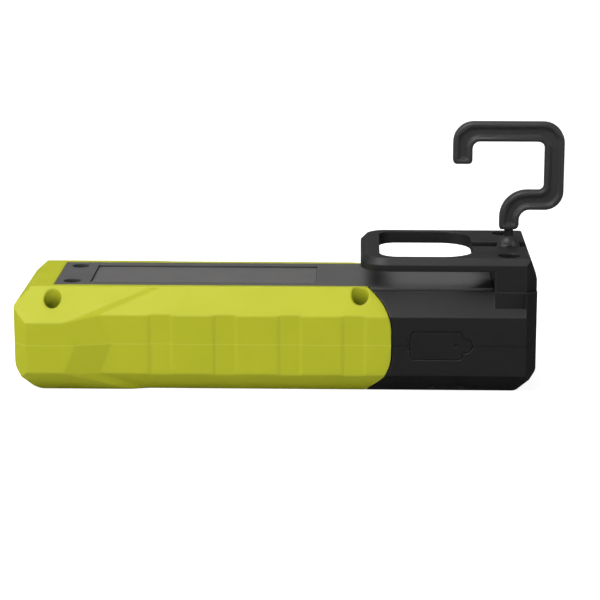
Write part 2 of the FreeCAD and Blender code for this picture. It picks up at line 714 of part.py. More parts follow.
# ================================================================ rear panel
def rear_panel():
    """Battery cover: narrow between the lime strips, wide in the head."""
    narrow = REAR_FLAT - PANEL_SIDE
    wide = REAR_FLAT
    step = seam_at_rear() + SEAM_GAP
    end = HEAD - PANEL_HEAD_END
    points = [
        (TAIL + PANEL_TAIL, -narrow, 0.8), (step, -narrow, 0), (step, -wide, 0), (end, -wide, 0),
        (end, wide, 0), (step, wide, 0), (step, narrow, 0), (TAIL + PANEL_TAIL, narrow, 2.0),
    ]
    bottom = BODY_HEIGHT - PANEL_THICKNESS
    plate = prism_z(points, bottom, BODY_HEIGHT)
    bosses = [post(PANEL_BOSS_R, x, y, DECK_Z - PANEL_BOSS_DEPTH, BODY_HEIGHT) for x, y in PANEL_SCREWS]
    plate = joined([plate] + bosses)
    for x, y in PANEL_SCREWS:
        plate = plate.cut(post(PANEL_BORE_R, x, y, panel_seat(), FAR))
        plate = plate.cut(post(SCREW_SHANK_R + INSERT_GAP, x, y, 0, panel_seat()))
    return plate.cut(prism_z(window_points(0), BODY_HEIGHT - WINDOW_DEPTH, FAR))


def panel_seat():
    """Height of the floor of the panel's screw holes."""
    return DECK_Z - PANEL_BOSS_DEPTH + 1.4


def window_points(inset):
    """Outline of the shallow window in the rear panel."""
    start = TAIL + WINDOW_TAIL
    points = rectangle(start, start + WINDOW_LENGTH, -WINDOW_HALF_WIDTH, WINDOW_HALF_WIDTH)
    return inset_points(points, inset)


def label_plate():
    """Blank rating plate that lies in the window."""
    floor = BODY_HEIGHT - WINDOW_DEPTH
    return prism_z(window_points(INSERT_GAP), floor, floor + LABEL_THICKNESS)


def panel_screws():
    """Two screws that hold the battery cover."""
    return [
        screw(x, y, panel_seat(), SCREW_HEAD_R, SCREW_HEAD_HEIGHT, SCREW_SHANK_R, SCREW_LENGTH / 2)
        for x, y in PANEL_SCREWS
    ]


# ================================================================ battery
def cell_floor():
    """Height of the underside of the cells."""
    return CHASSIS_INSET + CHASSIS_WALL + SHELL_GAP + TRAY_WALL + SHELL_GAP


def battery_cells():
    """Two lithium cells side by side, each with its raised cap."""
    z = cell_floor() + CELL_R
    x = TAIL + CELL_TAIL
    cells = []
    for side in (-1, 1):
        y = side * CELL_SPACING / 2
        can = rod(CELL_R, V(x, y, z), V(x + CELL_LENGTH, y, z))
        cap = rod(CELL_CAP_R, V(x + CELL_LENGTH, y, z), V(x + CELL_LENGTH + CELL_CAP_HEIGHT, y, z))
        cells.append(joined([can, cap]))
    return cells


def tray_half_width():
    """Outside half width of the battery tray."""
    return CELL_SPACING / 2 + CELL_R + SHELL_GAP + TRAY_WALL


def tray_ends():
    """X of the two ends of the battery tray."""
    reach = CONTACT_GAP + CONTACT_THICKNESS + TRAY_WALL
    start = TAIL + CELL_TAIL - reach
    return start, TAIL + CELL_TAIL + CELL_LENGTH + CELL_CAP_HEIGHT + reach


def battery_tray():
    """Open tray that holds both cells."""
    start, end = tray_ends()
    half = tray_half_width()
    bottom = cell_floor() - SHELL_GAP - TRAY_WALL
    outer = box(start, end, -half, half, bottom, bottom + TRAY_HEIGHT)
    inner = box(start + TRAY_WALL, end - TRAY_WALL, TRAY_WALL - half, half - TRAY_WALL,
                bottom + TRAY_WALL, FAR)
    return outer.cut(inner)


def battery_contacts():
    """Spring tongues and bus plates at the ends of the cells."""
    start, end = tray_ends()
    z = cell_floor() + CELL_R
    near = start + TRAY_WALL
    far = end - TRAY_WALL
    plates = []
    for side in (-1, 1):
        y = side * CELL_SPACING / 2
        plates.append(box(near, near + CONTACT_THICKNESS, y - 5.0, y + 5.0, z - 5.0, z + 5.0))
        tongue = rod(2.0, V(near + CONTACT_THICKNESS, y, z), V(TAIL + CELL_TAIL, y, z))
        plates[-1] = joined([plates[-1], tongue])
        stop = TAIL + CELL_TAIL + CELL_LENGTH + CELL_CAP_HEIGHT
        plate = box(far - CONTACT_THICKNESS, far, y - 5.0, y + 5.0, z - 5.0, z + 5.0)
        plates.append(joined([plate, rod(2.0, V(stop, y, z), V(far - CONTACT_THICKNESS, y, z))]))
    return plates


def lead_path(points, radius):
    """Straight runs joined by arcs."""
    edges = []
    last = points[0]
    for before, here, after in zip(points, points[1:], points[2:]):
        d1 = (here - before).normalize()
        d2 = (after - here).normalize()
        half_turn = d1.getAngle(d2) / 2
        cut = radius * math.tan(half_turn)
        bisector = (d2 - d1).normalize()
        middle = here + bisector * (radius / math.cos(half_turn) - radius)
        edges.append(Part.makeLine(last, here - d1 * cut))
        edges.append(Part.Arc(here - d1 * cut, middle, here + d2 * cut).toShape())
        last = here + d2 * cut
    edges.append(Part.makeLine(last, points[-1]))
    return Part.Wire(edges)


def battery_leads():
    """Two insulated leads from the cell contacts to the control board."""
    _, end = tray_ends()
    leads = []
    for side in (-1, 1):
        y = side * CELL_SPACING / 2
        start = V(end + SHELL_GAP, y, cell_floor() + TRAY_HEIGHT)
        rise_x = board_tail() - LEAD_BEND - 2.0
        points = [start, V(rise_x, y, start.z), V(rise_x, y, BOARD_TOP + LEAD_BEND + 3.0),
                  V(board_tail() + 3.0, y, BOARD_TOP + LEAD_BEND + 3.0),
                  V(board_tail() + 3.0, y, BOARD_TOP)]
        radius = min(LEAD_BEND, (points[2].z - start.z) / 2 - 0.1, 2.4)
        wire = lead_path(points, radius)
        profile = Part.Wire(Part.makeCircle(LEAD_R, start, V(1, 0, 0)))
        leads.append(wire.makePipeShell([profile], True, True))
    return leads


# ================================================================ light engine
def lens():
    """Clear front lens: a pad in the window and a wider flange behind it."""
    pad = prism_z(lens_pocket_points(BEZEL_WIDTH + INSERT_GAP), LENS_RECESS, HEAD_WALL)
    flange = prism_z(lens_pocket_points(-LENS_LIP), HEAD_WALL, HEAD_WALL + LENS_THICKNESS)
    return joined([pad, flange])


def lens_bezel():
    """Frame round the lens, set a little below the front face."""
    outer = prism_z(lens_pocket_points(INSERT_GAP / 2), BEZEL_RECESS, HEAD_WALL)
    inner = prism_z(lens_pocket_points(BEZEL_WIDTH), -1, HEAD_WALL + 1)
    return outer.cut(inner)


def lens_gasket():
    """Flat seal between the lens flange and the reflector."""
    z = HEAD_WALL + LENS_THICKNESS
    outer = prism_z(lens_pocket_points(-LENS_LIP), z, z + GASKET_THICKNESS)
    return outer.cut(prism_z(lens_pocket_points(0.5), z - 1, z + 2))


def reflector():
    """Tray with a flat floor and a clear middle for the light source."""
    z = HEAD_WALL + LENS_THICKNESS + GASKET_THICKNESS
    outer = prism_z(lens_pocket_points(-LENS_LIP), z, z + REFLECTOR_DEPTH)
    hollow = prism_z(lens_pocket_points(1.5), z - 1, z + REFLECTOR_DEPTH - REFLECTOR_WALL)
    window = prism_z(led_points(INSERT_GAP), z, z + REFLECTOR_DEPTH + 1)
    return outer.cut(hollow).cut(window)


def led_points(grow=0.0):
    """Outline of the light-emitting area, X and Y."""
    centre = (LENS_TAIL + LENS_HEAD) / 2
    half = LED_LENGTH / 2 + grow
    width = LED_HALF_WIDTH + grow
    return rectangle(centre - half, centre + half, -width, width)


def cob_led():
    """Phosphor-coated light source on the underside of its board."""
    z = led_board_z()
    return prism_z(led_points(), z - LED_THICKNESS, z)


def led_board():
    """Metal-core board of the light source."""
    z = led_board_z()
    width = LENS_HALF_WIDTH + LENS_LIP + 2 * LED_BOSS_R
    plate = box(LENS_TAIL - LENS_LIP, LENS_HEAD - 8.0, -width, width, z, z + LED_BOARD_THICKNESS)
    for x, y in led_posts():
        plate = plate.cut(post(LED_SCREW_R + INSERT_GAP, x, y, z - 1, z + 3))
    return plate


def heat_sink():
    """Finned aluminium spreader on the LED board."""
    z = led_board_z() + LED_BOARD_THICKNESS
    x0 = LENS_TAIL + SINK_MARGIN
    x1 = LENS_HEAD - 8.0 - SINK_MARGIN
    half = LENS_HALF_WIDTH - SINK_MARGIN
    base = box(x0, x1, -half, half, z, z + SINK_BASE)
    fins = []
    for k in range(SINK_FIN_COUNT):
        y = -half + k * (2 * half - SINK_FIN_THICKNESS) / (SINK_FIN_COUNT - 1)
        fins.append(box(x0, x1, y, y + SINK_FIN_THICKNESS, z + SINK_BASE, z + SINK_BASE + SINK_FIN_HEIGHT))
    return joined([base] + fins)


def led_screws():
    """Four small screws that hold the LED board on its posts."""
    seat = led_board_z() + LED_BOARD_THICKNESS
    screws = []
    for x, y in led_posts():
        shank = post(LED_SCREW_R, x, y, seat - LED_SCREW_DEPTH - LED_BOARD_THICKNESS + 0.5, seat)
        head = post(LED_SCREW_HEAD_R, x, y, seat, seat + LED_SCREW_HEAD_HEIGHT)
        screws.append(joined([shank, head]))
    return screws


# ================================================================ electronics
def board_tail():
    """X of the control board's end towards the grip."""
    return HEAD - PORT_FROM_HEAD - BOARD_LENGTH / 2 + 2.0


def control_board():
    """Charging and control board under the charge port's socket."""
    start = board_tail()
    near = -BODY_HALF_WIDTH + max(CHASSIS_INSET + CHASSIS_WALL, PORT_BACKING) + BOARD_SIDE_GAP
    far = BODY_HALF_WIDTH - HEAD_WALL - BOARD_FAR_SIDE
    end = BRACKET_SCREWS[0][0] - HOUSING_BOSS_R - 1.0
    plate = box(start, min(start + BOARD_LENGTH, end), near, far, BOARD_TOP - BOARD_THICKNESS, BOARD_TOP)
    for x, y in GRIP_SCREWS:
        plate = plate.cut(post(GRIP_BOSS_R + CHASSIS_WALL + 2 * SHELL_GAP, x, y, 0, BODY_HEIGHT))
    return plate


def board_parts():
    """Inductor and controller chips on the control board."""
    x = board_tail() + 12.0
    coil = post(4.0, x, 4.0, BOARD_TOP, BOARD_TOP + 4.0)
    driver = box(x + 8.0, x + 15.0, -3.0, 4.0, BOARD_TOP, BOARD_TOP + 1.2)
    charger = box(x + 8.0, x + 13.0, 8.0, 13.0, BOARD_TOP, BOARD_TOP + 1.2)
    return [coil, driver, charger]


def usb_socket():
    """Metal charging socket with its tongue, level with the port hole."""
    start = -BODY_HALF_WIDTH + PORT_BACKING + SHELL_GAP
    shell = rectangle(PORT_X - SOCKET_HALF_LENGTH, PORT_X + SOCKET_HALF_LENGTH,
                      PARTING_Z - SOCKET_HALF_HEIGHT, PARTING_Z + SOCKET_HALF_HEIGHT, 1.3)
    outer = prism_y(shell, start, start + USB_DEPTH)
    inner = prism_y(inset_points(shell, USB_WALL), start - 1, start + USB_DEPTH - USB_WALL)
    tongue = box(PORT_X - 3.2, PORT_X + 3.2, start + 1.0, start + USB_DEPTH - USB_WALL,
                 PARTING_Z - 0.35, PARTING_Z + 0.35)
    return joined([outer.cut(inner), tongue])


# ================================================================ push button
def power_button():
    """Rubber button cap with a flange inside the front wall."""
    flange_z = HEAD_WALL + SHELL_GAP
    cap = post(BUTTON_R, BUTTON_X, 0, BUTTON_RECESS, flange_z + BUTTON_FLANGE)
    cap = cap.makeFillet(0.6, [e for e in cap.Edges if abs(e.BoundBox.ZMax - BUTTON_RECESS) < 1e-6])
    flange = post(BUTTON_FLANGE_R, BUTTON_X, 0, flange_z, flange_z + BUTTON_FLANGE)
    stem = post(BUTTON_STEM_R, BUTTON_X, 0, flange_z, BUTTON_STEM_TOP)
    return joined([cap, flange, stem])


def button_collar():
    """Ring that guides the button's flange."""
    inner = BUTTON_FLANGE_R + INSERT_GAP
    top = HEAD_WALL + BUTTON_FLANGE + BUTTON_TRAVEL + SHELL_GAP
    ring = post(inner + COLLAR_WALL, BUTTON_X, 0, HEAD_WALL, top)
    return ring.cut(post(inner, BUTTON_X, 0, 0, top + 1))


def switch_z():
    """Underside of the switch's plunger."""
    return BUTTON_STEM_TOP + BUTTON_TRAVEL + BUTTON_STOP_GAP


def tact_switch():
    """Push switch above the button's stem."""
    z = switch_z() + SWITCH_PLUNGER
    body = box(BUTTON_X - SWITCH_HALF, BUTTON_X + SWITCH_HALF, -SWITCH_HALF, SWITCH_HALF,
               z, z + SWITCH_HEIGHT)
    return joined([body, post(SWITCH_PLUNGER_R, BUTTON_X, 0, switch_z(), z)])


def switch_board():
    """Small board that carries the switch."""
    z = switch_z() + SWITCH_PLUNGER + SWITCH_HEIGHT
    end = min(BUTTON_X + SWITCH_BOARD_HALF, LENS_TAIL - LENS_LIP - 0.5)
    half = SWITCH_BOARD_HALF + 4.0
    return box(BUTTON_X - SWITCH_BOARD_HALF, end, -half, half, z, z + SWITCH_BOARD_THICKNESS)


def charge_light_pipe():
    """Clear pipe that shows the charge light beside the button."""
    top = switch_z() + SWITCH_PLUNGER + SWITCH_HEIGHT
    return post(LIGHT_PIPE_R, BUTTON_X, LIGHT_PIPE_SIDE, BUTTON_RECESS, top)


# ================================================================ port cover
def port_cover():
    """Rubber flap with a pull tab, a dimple and a plug on its back."""
    face = -BODY_HALF_WIDTH
    left = PORT_X - PORT_HALF_LENGTH
    flap = prism_y(rectangle(
        left, PORT_X + PORT_HALF_LENGTH,
        PARTING_Z - PORT_HALF_HEIGHT, PARTING_Z + PORT_HALF_HEIGHT, PORT_CORNER), face, face + PORT_THICKNESS)
    tab_x = PORT_X + PORT_HALF_LENGTH + PORT_TAB_OFFSET
    tab = rod(PORT_TAB_R, V(tab_x, face, PARTING_Z), V(tab_x, face + PORT_THICKNESS, PARTING_Z))
    tongue = box(left - STRAP_GAP, PORT_X, face, face + PORT_THICKNESS,
                 PARTING_Z - STRAP_HALF_HEIGHT, PARTING_Z + STRAP_HALF_HEIGHT)
    plug = box(PORT_X - PORT_PLUG_HALF_LENGTH, PORT_X + PORT_PLUG_HALF_LENGTH, face + PORT_THICKNESS,
               face + PORT_THICKNESS + PORT_PLUG_DEPTH,
               PARTING_Z - PORT_PLUG_HALF_HEIGHT, PARTING_Z + PORT_PLUG_HALF_HEIGHT)
    dimple_x = PORT_X + PORT_HALF_LENGTH - 2.5
    dimple = Part.makeSphere(0.9, V(dimple_x, face - 0.5, PARTING_Z))
    return joined([flap, tab, tongue, plug]).cut(dimple)


def port_strap():
    """Fixed end of the cover's rubber hinge strap, with its peg."""
    face = -BODY_HALF_WIDTH
    start = PORT_X - PORT_HALF_LENGTH - STRAP_LENGTH
    end = PORT_X - PORT_HALF_LENGTH - 2 * STRAP_GAP
    strap = box(start, end, face, face + PORT_THICKNESS,
                PARTING_Z - STRAP_HALF_HEIGHT, PARTING_Z + STRAP_HALF_HEIGHT)
    peg_x = start + STRAP_LENGTH / 2
    peg = rod(STRAP_PEG_R, V(peg_x, face + PORT_THICKNESS, PARTING_Z),
              V(peg_x, face + PORT_THICKNESS + STRAP_PEG_DEPTH, PARTING_Z))
    return joined([strap, peg])


# ================================================================ hook bracket
def bracket_seat():
    """Height of the floor of the bracket's screw holes."""
    return RING_TOP - BRACKET_SEAT_DROP


def ring_points(inset=0.0):
    """Plan outline of the bracket's ring."""
    half = BRACKET_HALF_WIDTH
    start = HEAD - BRACKET_FROM_HEAD
    points = [
        (start, -half, RING_CORNER), (HEAD - HEAD_SIDE_CORNER, -half, 0),
        (HEAD, HEAD_SIDE_CORNER - half, 0), (HEAD, half - HEAD_SIDE_CORNER, 0),
        (HEAD - HEAD_SIDE_CORNER, half, 0), (start, half, RING_CORNER),
    ]
    return inset_points(points, inset)


def ring_solid():
    """Ring plate whose upper outer edge is chamfered all round."""
    bottom = RING_TOP - RING_THICKNESS
    plate = prism_z(ring_points(), bottom, RING_TOP)
    edges = []
    for edge in plate.Edges:
        bounds = edge.BoundBox
        flat_top = abs(bounds.ZMin - RING_TOP) < 1e-6
        at_head_end = bounds.XMin > HEAD - HEAD_SIDE_CORNER - 1e-6
        if flat_top and not at_head_end:
            edges.append(edge)
    return plate.makeChamfer(RING_CHAMFER, edges)


def opening_points():
    """Plan outline of the opening inside the ring."""
    end = HEAD - OPENING_FROM_HEAD
    start = end - OPENING_LENGTH
    half = BRACKET_HALF_WIDTH - RING_RAIL
    return [
        (start, -half, OPENING_ROUND_TAIL), (end, -half, OPENING_ROUND_HEAD),
        (end, half, OPENING_ROUND_HEAD), (start, half, OPENING_ROUND_TAIL),
    ]


def end_profile():
    """Side outline that rounds the bracket's end over the head."""
    return [
        (-FAR, BODY_HEIGHT, 0), (HEAD, BODY_HEIGHT, 0),
        (HEAD, RING_TOP - FOOT_END_DROP - FOOT_END_RUN, 0),
        (HEAD - FOOT_END_LEAN, RING_TOP - FOOT_END_DROP, FOOT_END_ROUND),
        (HEAD - FOOT_END_RUN, RING_TOP, 0.8), (-FAR, RING_TOP, 0),
    ]


def knuckle_space():
    """Pocket and channels that the knuckle and the hook's stem move in."""
    pocket_r = KNUCKLE_R + POCKET_GAP
    floor = PIVOT.z - pocket_r
    pocket = post(pocket_r, PIVOT.x, PIVOT.y, floor, FAR)
    channel = box(HEAD - OPENING_FROM_HEAD - 1.0, FAR, -CHANNEL_HALF_WIDTH, CHANNEL_HALF_WIDTH,
                  PIVOT.z - CHANNEL_DEPTH, FAR)
    return pocket.fuse(channel)


def pin_space():
    """Bores that the pivot pins turn in."""
    reach = V(0, PIN_OUTER + FIT_GAP, 0)
    return rod(PIN_R + FIT_GAP, PIVOT - reach, PIVOT + reach)


def retainer_block(gap):
    """Block that closes the pivot from below."""
    x = PIVOT.x
    half_x = RETAINER_HALF_LENGTH + gap
    half_y = RETAINER_HALF_WIDTH + gap
    return box(x - half_x, x + half_x, -half_y, half_y, BODY_HEIGHT, PIVOT.z + gap)


def hook_bracket():
    """Carrying ring with its foot, screwed to the rear of the head."""
    foot = prism_z(foot_plan(FOOT_LENGTH), BODY_HEIGHT, RING_TOP - RING_CHAMFER)
    body = joined([ring_solid(), foot]).common(prism_y(end_profile(), -FAR, FAR))
    body = body.cut(prism_z(opening_points(), 0, FAR))
    body = body.cut(retainer_block(FIT_GAP)).cut(knuckle_space()).cut(pin_space())
    for x, y in BRACKET_SCREWS:
        body = body.cut(post(BRACKET_BORE_R, x, y, bracket_seat(), FAR))
        body = body.cut(post(BRACKET_SCREW_R + INSERT_GAP, x, y, 0, bracket_seat()))
    return body


def pivot_retainer():
    """Block under the knuckle that traps its pins."""
    return retainer_block(0).cut(knuckle_space()).cut(pin_space())


def bracket_screws():
    """Two long screws through the bracket and both housings."""
    return [
        screw(x, y, bracket_seat(), BRACKET_SCREW_HEAD_R, BRACKET_SCREW_HEAD_HEIGHT,
              BRACKET_SCREW_R, BRACKET_SCREW_LENGTH)
        for x, y in BRACKET_SCREWS
    ]


# ================================================================ swivel hook
def swivel_knuckle():
    """Ball with side flats, pin holes and an upright bore for the stem."""
    ball = Part.makeSphere(KNUCKLE_R, PIVOT)
    ball = ball.common(box(-FAR, FAR, -KNUCKLE_FLAT, KNUCKLE_FLAT, -FAR, FAR))
    dome = Part.makeSphere(DOME_R, PIVOT + V(0, 0, DOME_RISE))
    dome = dome.common(box(-FAR, FAR, -KNUCKLE_FLAT, KNUCKLE_FLAT, -FAR, FAR))
    ball = joined([ball, dome])
    low = PIVOT.z - SHANK_TAIL
    ball = ball.cut(post(SHANK_R + FIT_GAP, PIVOT.x, 0, low, FAR))
    ball = ball.cut(post(SHANK_SCREW_HEAD_R + INSERT_GAP, PIVOT.x, 0, 0, low))
    reach = V(0, PIN_OUTER, 0)
    inner = V(0, PIN_INNER, 0)
    for sign in (-1, 1):
        ball = ball.cut(rod(PIN_R, PIVOT + inner * sign, PIVOT + reach * sign))
    return ball


def pivot_pins():
    """Two steel pins pressed into the knuckle's flats."""
    reach = V(0, PIN_OUTER, 0)
    inner = V(0, PIN_INNER, 0)
    return [rod(PIN_R, PIVOT + inner * sign, PIVOT + reach * sign) for sign in (-1, 1)]


def friction_washers():
    """Spring washers on the pins, which hold the hook where it is set."""
    washers = []
    for sign in (-1, 1):
        start = PIVOT + V(0, sign * KNUCKLE_FLAT, 0)
        end = start + V(0, sign * WASHER_THICKNESS, 0)
        washers.append(rod(WASHER_R, start, end).cut(rod(PIN_R, start, end)))
    return washers


def hook_points():
    """Outline of the hook bar, X and Z, counter-clockwise from its foot."""
    half = HOOK_BAR / 2
    foot = PIVOT.z + SHANK_LENGTH
    left = PIVOT.x - half
    right = PIVOT.x + half
    low = foot + HOOK_NECK_RISE
    inner_right = PIVOT.x + HOOK_REACH - half
    outer_right = PIVOT.x + HOOK_REACH + half
    high = low + HOOK_BAR + HOOK_INSIDE_HEIGHT
    top = high + HOOK_BAR
    inner_left = inner_right - HOOK_MOUTH
    outer_left = inner_left - HOOK_BAR
    tip = high - HOOK_TIP_DROP
    return [
        (left, foot, 0.8), (right - 1.9, foot, 0.6), (right, foot + 2.5, 0.8), (right, low, 4.0),
        (outer_right, low, 7.1), (outer_right, top, 7.8), (outer_left, top, 7.8),
        (outer_left, tip, 1.5), (inner_left, tip, 1.5), (inner_left, high, 2.8),
        (inner_right, high, 2.8), (inner_right, low + HOOK_BAR, 2.0),
        (left, low + HOOK_BAR, 10.5),
    ]


def hook_arm():
    """Moulded hook bar with a recess along both faces."""
    half = HOOK_THICKNESS / 2
    bar = prism_y(hook_points(), -half, half)
    rims = [edge for edge in bar.Edges if abs(abs(edge.BoundBox.Center.y) - half) < 1e-6]
    bar = bar.makeChamfer(0.5, rims)
    groove = prism_y(hook_groove_points(), half - HOOK_GROOVE_DEPTH, FAR)
    for cutter in mirrored(groove, V(0, 1, 0)):
        bar = bar.cut(cutter)
    foot = PIVOT.z + SHANK_LENGTH
    return bar.cut(post(SHANK_R, PIVOT.x, 0, foot - 1, foot + SHANK_IN_BAR))


def hook_groove_points():
    """Outline of the recess along the middle of the bar."""
    moved = inset_points(hook_points(), HOOK_GROOVE_EDGE)
    foot = PIVOT.z + SHANK_LENGTH + HOOK_GROOVE_EDGE
    left, right = moved[0][0], moved[3][0]
    start = [(left, foot, 0.3), (right, foot, 0.3)]
    concave = {3: 4.0, 9: 2.8, 10: 2.8, 11: 2.0}
    body = []
    for i, (u, v, radius) in enumerate(moved[3:], start=3):
        grown = concave[i] + HOOK_GROOVE_EDGE if i in concave else radius
        body.append((u, v, grown))
    return start + body


def hook_shank():
    """Steel stem pressed into the hook bar; it turns in the knuckle."""
    foot = PIVOT.z + SHANK_LENGTH
    stem = post(SHANK_R, PIVOT.x, 0, PIVOT.z - SHANK_TAIL, foot + SHANK_IN_BAR)
    low = PIVOT.z - SHANK_TAIL
    return stem.cut(post(SHANK_SCREW_R, PIVOT.x, 0, low, low + SHANK_SCREW_LENGTH))


def shank_screw():
    """Shoulder screw that keeps the stem in the knuckle."""
    low = PIVOT.z - SHANK_TAIL
    head = post(SHANK_SCREW_HEAD_R, PIVOT.x, 0, low - SHANK_SCREW_HEAD - FIT_GAP, low - FIT_GAP)
    neck = post(SHANK_SCREW_R, PIVOT.x, 0, low - FIT_GAP, low + SHANK_SCREW_LENGTH)
    return joined([head, neck])


# ================================================================ output
def export(name, shape):
    """Write one node; a list is a group of separate solids."""
    if isinstance(shape, list):
        shape = Part.makeCompound(shape)
    solids = shape.Solids
    if len(solids) == 1:
        shape = solids[0]
    shape.exportStep(f"parts/{name}.step")
    print(name, len(solids), "valid" if shape.isValid() else "INVALID", round(shape.Volume, 1))


NODES = [
    front_housing, rear_housing, grip_front, grip_rear, grip_screws, rear_panel, label_plate,
    panel_screws, battery_cells, battery_tray, battery_contacts, battery_leads, lens, lens_bezel,
    lens_gasket, reflector, cob_led, led_board, heat_sink, led_screws, control_board, board_parts,
    usb_socket, power_button, button_collar, tact_switch, switch_board, charge_light_pipe,
    port_cover, port_strap, hook_bracket, pivot_retainer, bracket_screws, swivel_knuckle,
    pivot_pins, friction_washers, hook_arm, hook_shank, shank_screw,
]


def main():
    """Build every node."""
    os.makedirs("parts", exist_ok=True)
    for make in NODES:
        export(make.__name__, make())


main()
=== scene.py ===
"""Looks of a hand-held work light, built round its fixed frame."""
import logging
import math
from collections.abc import Callable, Iterator
from contextlib import contextmanager
from dataclasses import dataclass
from enum import Enum

import bmesh
import bpy
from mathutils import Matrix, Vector


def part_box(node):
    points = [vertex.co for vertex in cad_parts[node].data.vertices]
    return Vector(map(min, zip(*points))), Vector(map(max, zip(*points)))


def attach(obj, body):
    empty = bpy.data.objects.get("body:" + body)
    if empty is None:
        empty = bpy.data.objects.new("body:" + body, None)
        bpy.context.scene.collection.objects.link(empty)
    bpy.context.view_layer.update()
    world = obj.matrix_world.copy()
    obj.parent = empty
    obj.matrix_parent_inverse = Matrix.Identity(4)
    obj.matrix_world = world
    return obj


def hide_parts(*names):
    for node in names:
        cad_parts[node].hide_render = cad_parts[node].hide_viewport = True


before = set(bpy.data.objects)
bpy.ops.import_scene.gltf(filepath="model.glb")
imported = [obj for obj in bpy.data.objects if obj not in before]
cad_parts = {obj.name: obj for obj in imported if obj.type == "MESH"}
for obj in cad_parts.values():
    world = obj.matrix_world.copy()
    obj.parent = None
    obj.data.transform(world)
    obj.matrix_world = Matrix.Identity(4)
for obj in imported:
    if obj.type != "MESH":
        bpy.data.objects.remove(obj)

LOG = logging.getLogger("work_light")
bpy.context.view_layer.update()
MM = 0.001
SEAM_HEIGHT = 19.1 * MM         # where the front and rear shells meet
SAME_PLACE = 0.01 * MM          # points closer than this count as one
SAME_WAY = 0.9                  # least cosine between directions that count as one
SMOOTH_DEG = 35                 # faces that meet at less than this are shaded as one
NOISE_SPAN = (0.3, 0.7)         # where nearly all of a noise's values lie
HOLE_SHADE_SPAN = (0.15, 0.75)      # open share of the view for the painted shade, from far inside a hole to clear
EDGE_SPAN = (0.93, 0.997)       # cosine between face and rounded normal, from edge to flat
BEVEL_SAMPLES = 6
Colour = tuple[float, float, float]


class Body(str, Enum):
    """The bodies that modelled pieces ride on."""

    LIGHT = "light_body"
    HOOK = "hook"
    BUTTON = "button"


class Direction(Enum):
    """Main directions of the light, as it lies on its front face."""

    HEAD = Vector((1, 0, 0))
    TAIL = Vector((-1, 0, 0))
    REAR = Vector((0, 0, 1))
    FRONT = Vector((0, 0, -1))


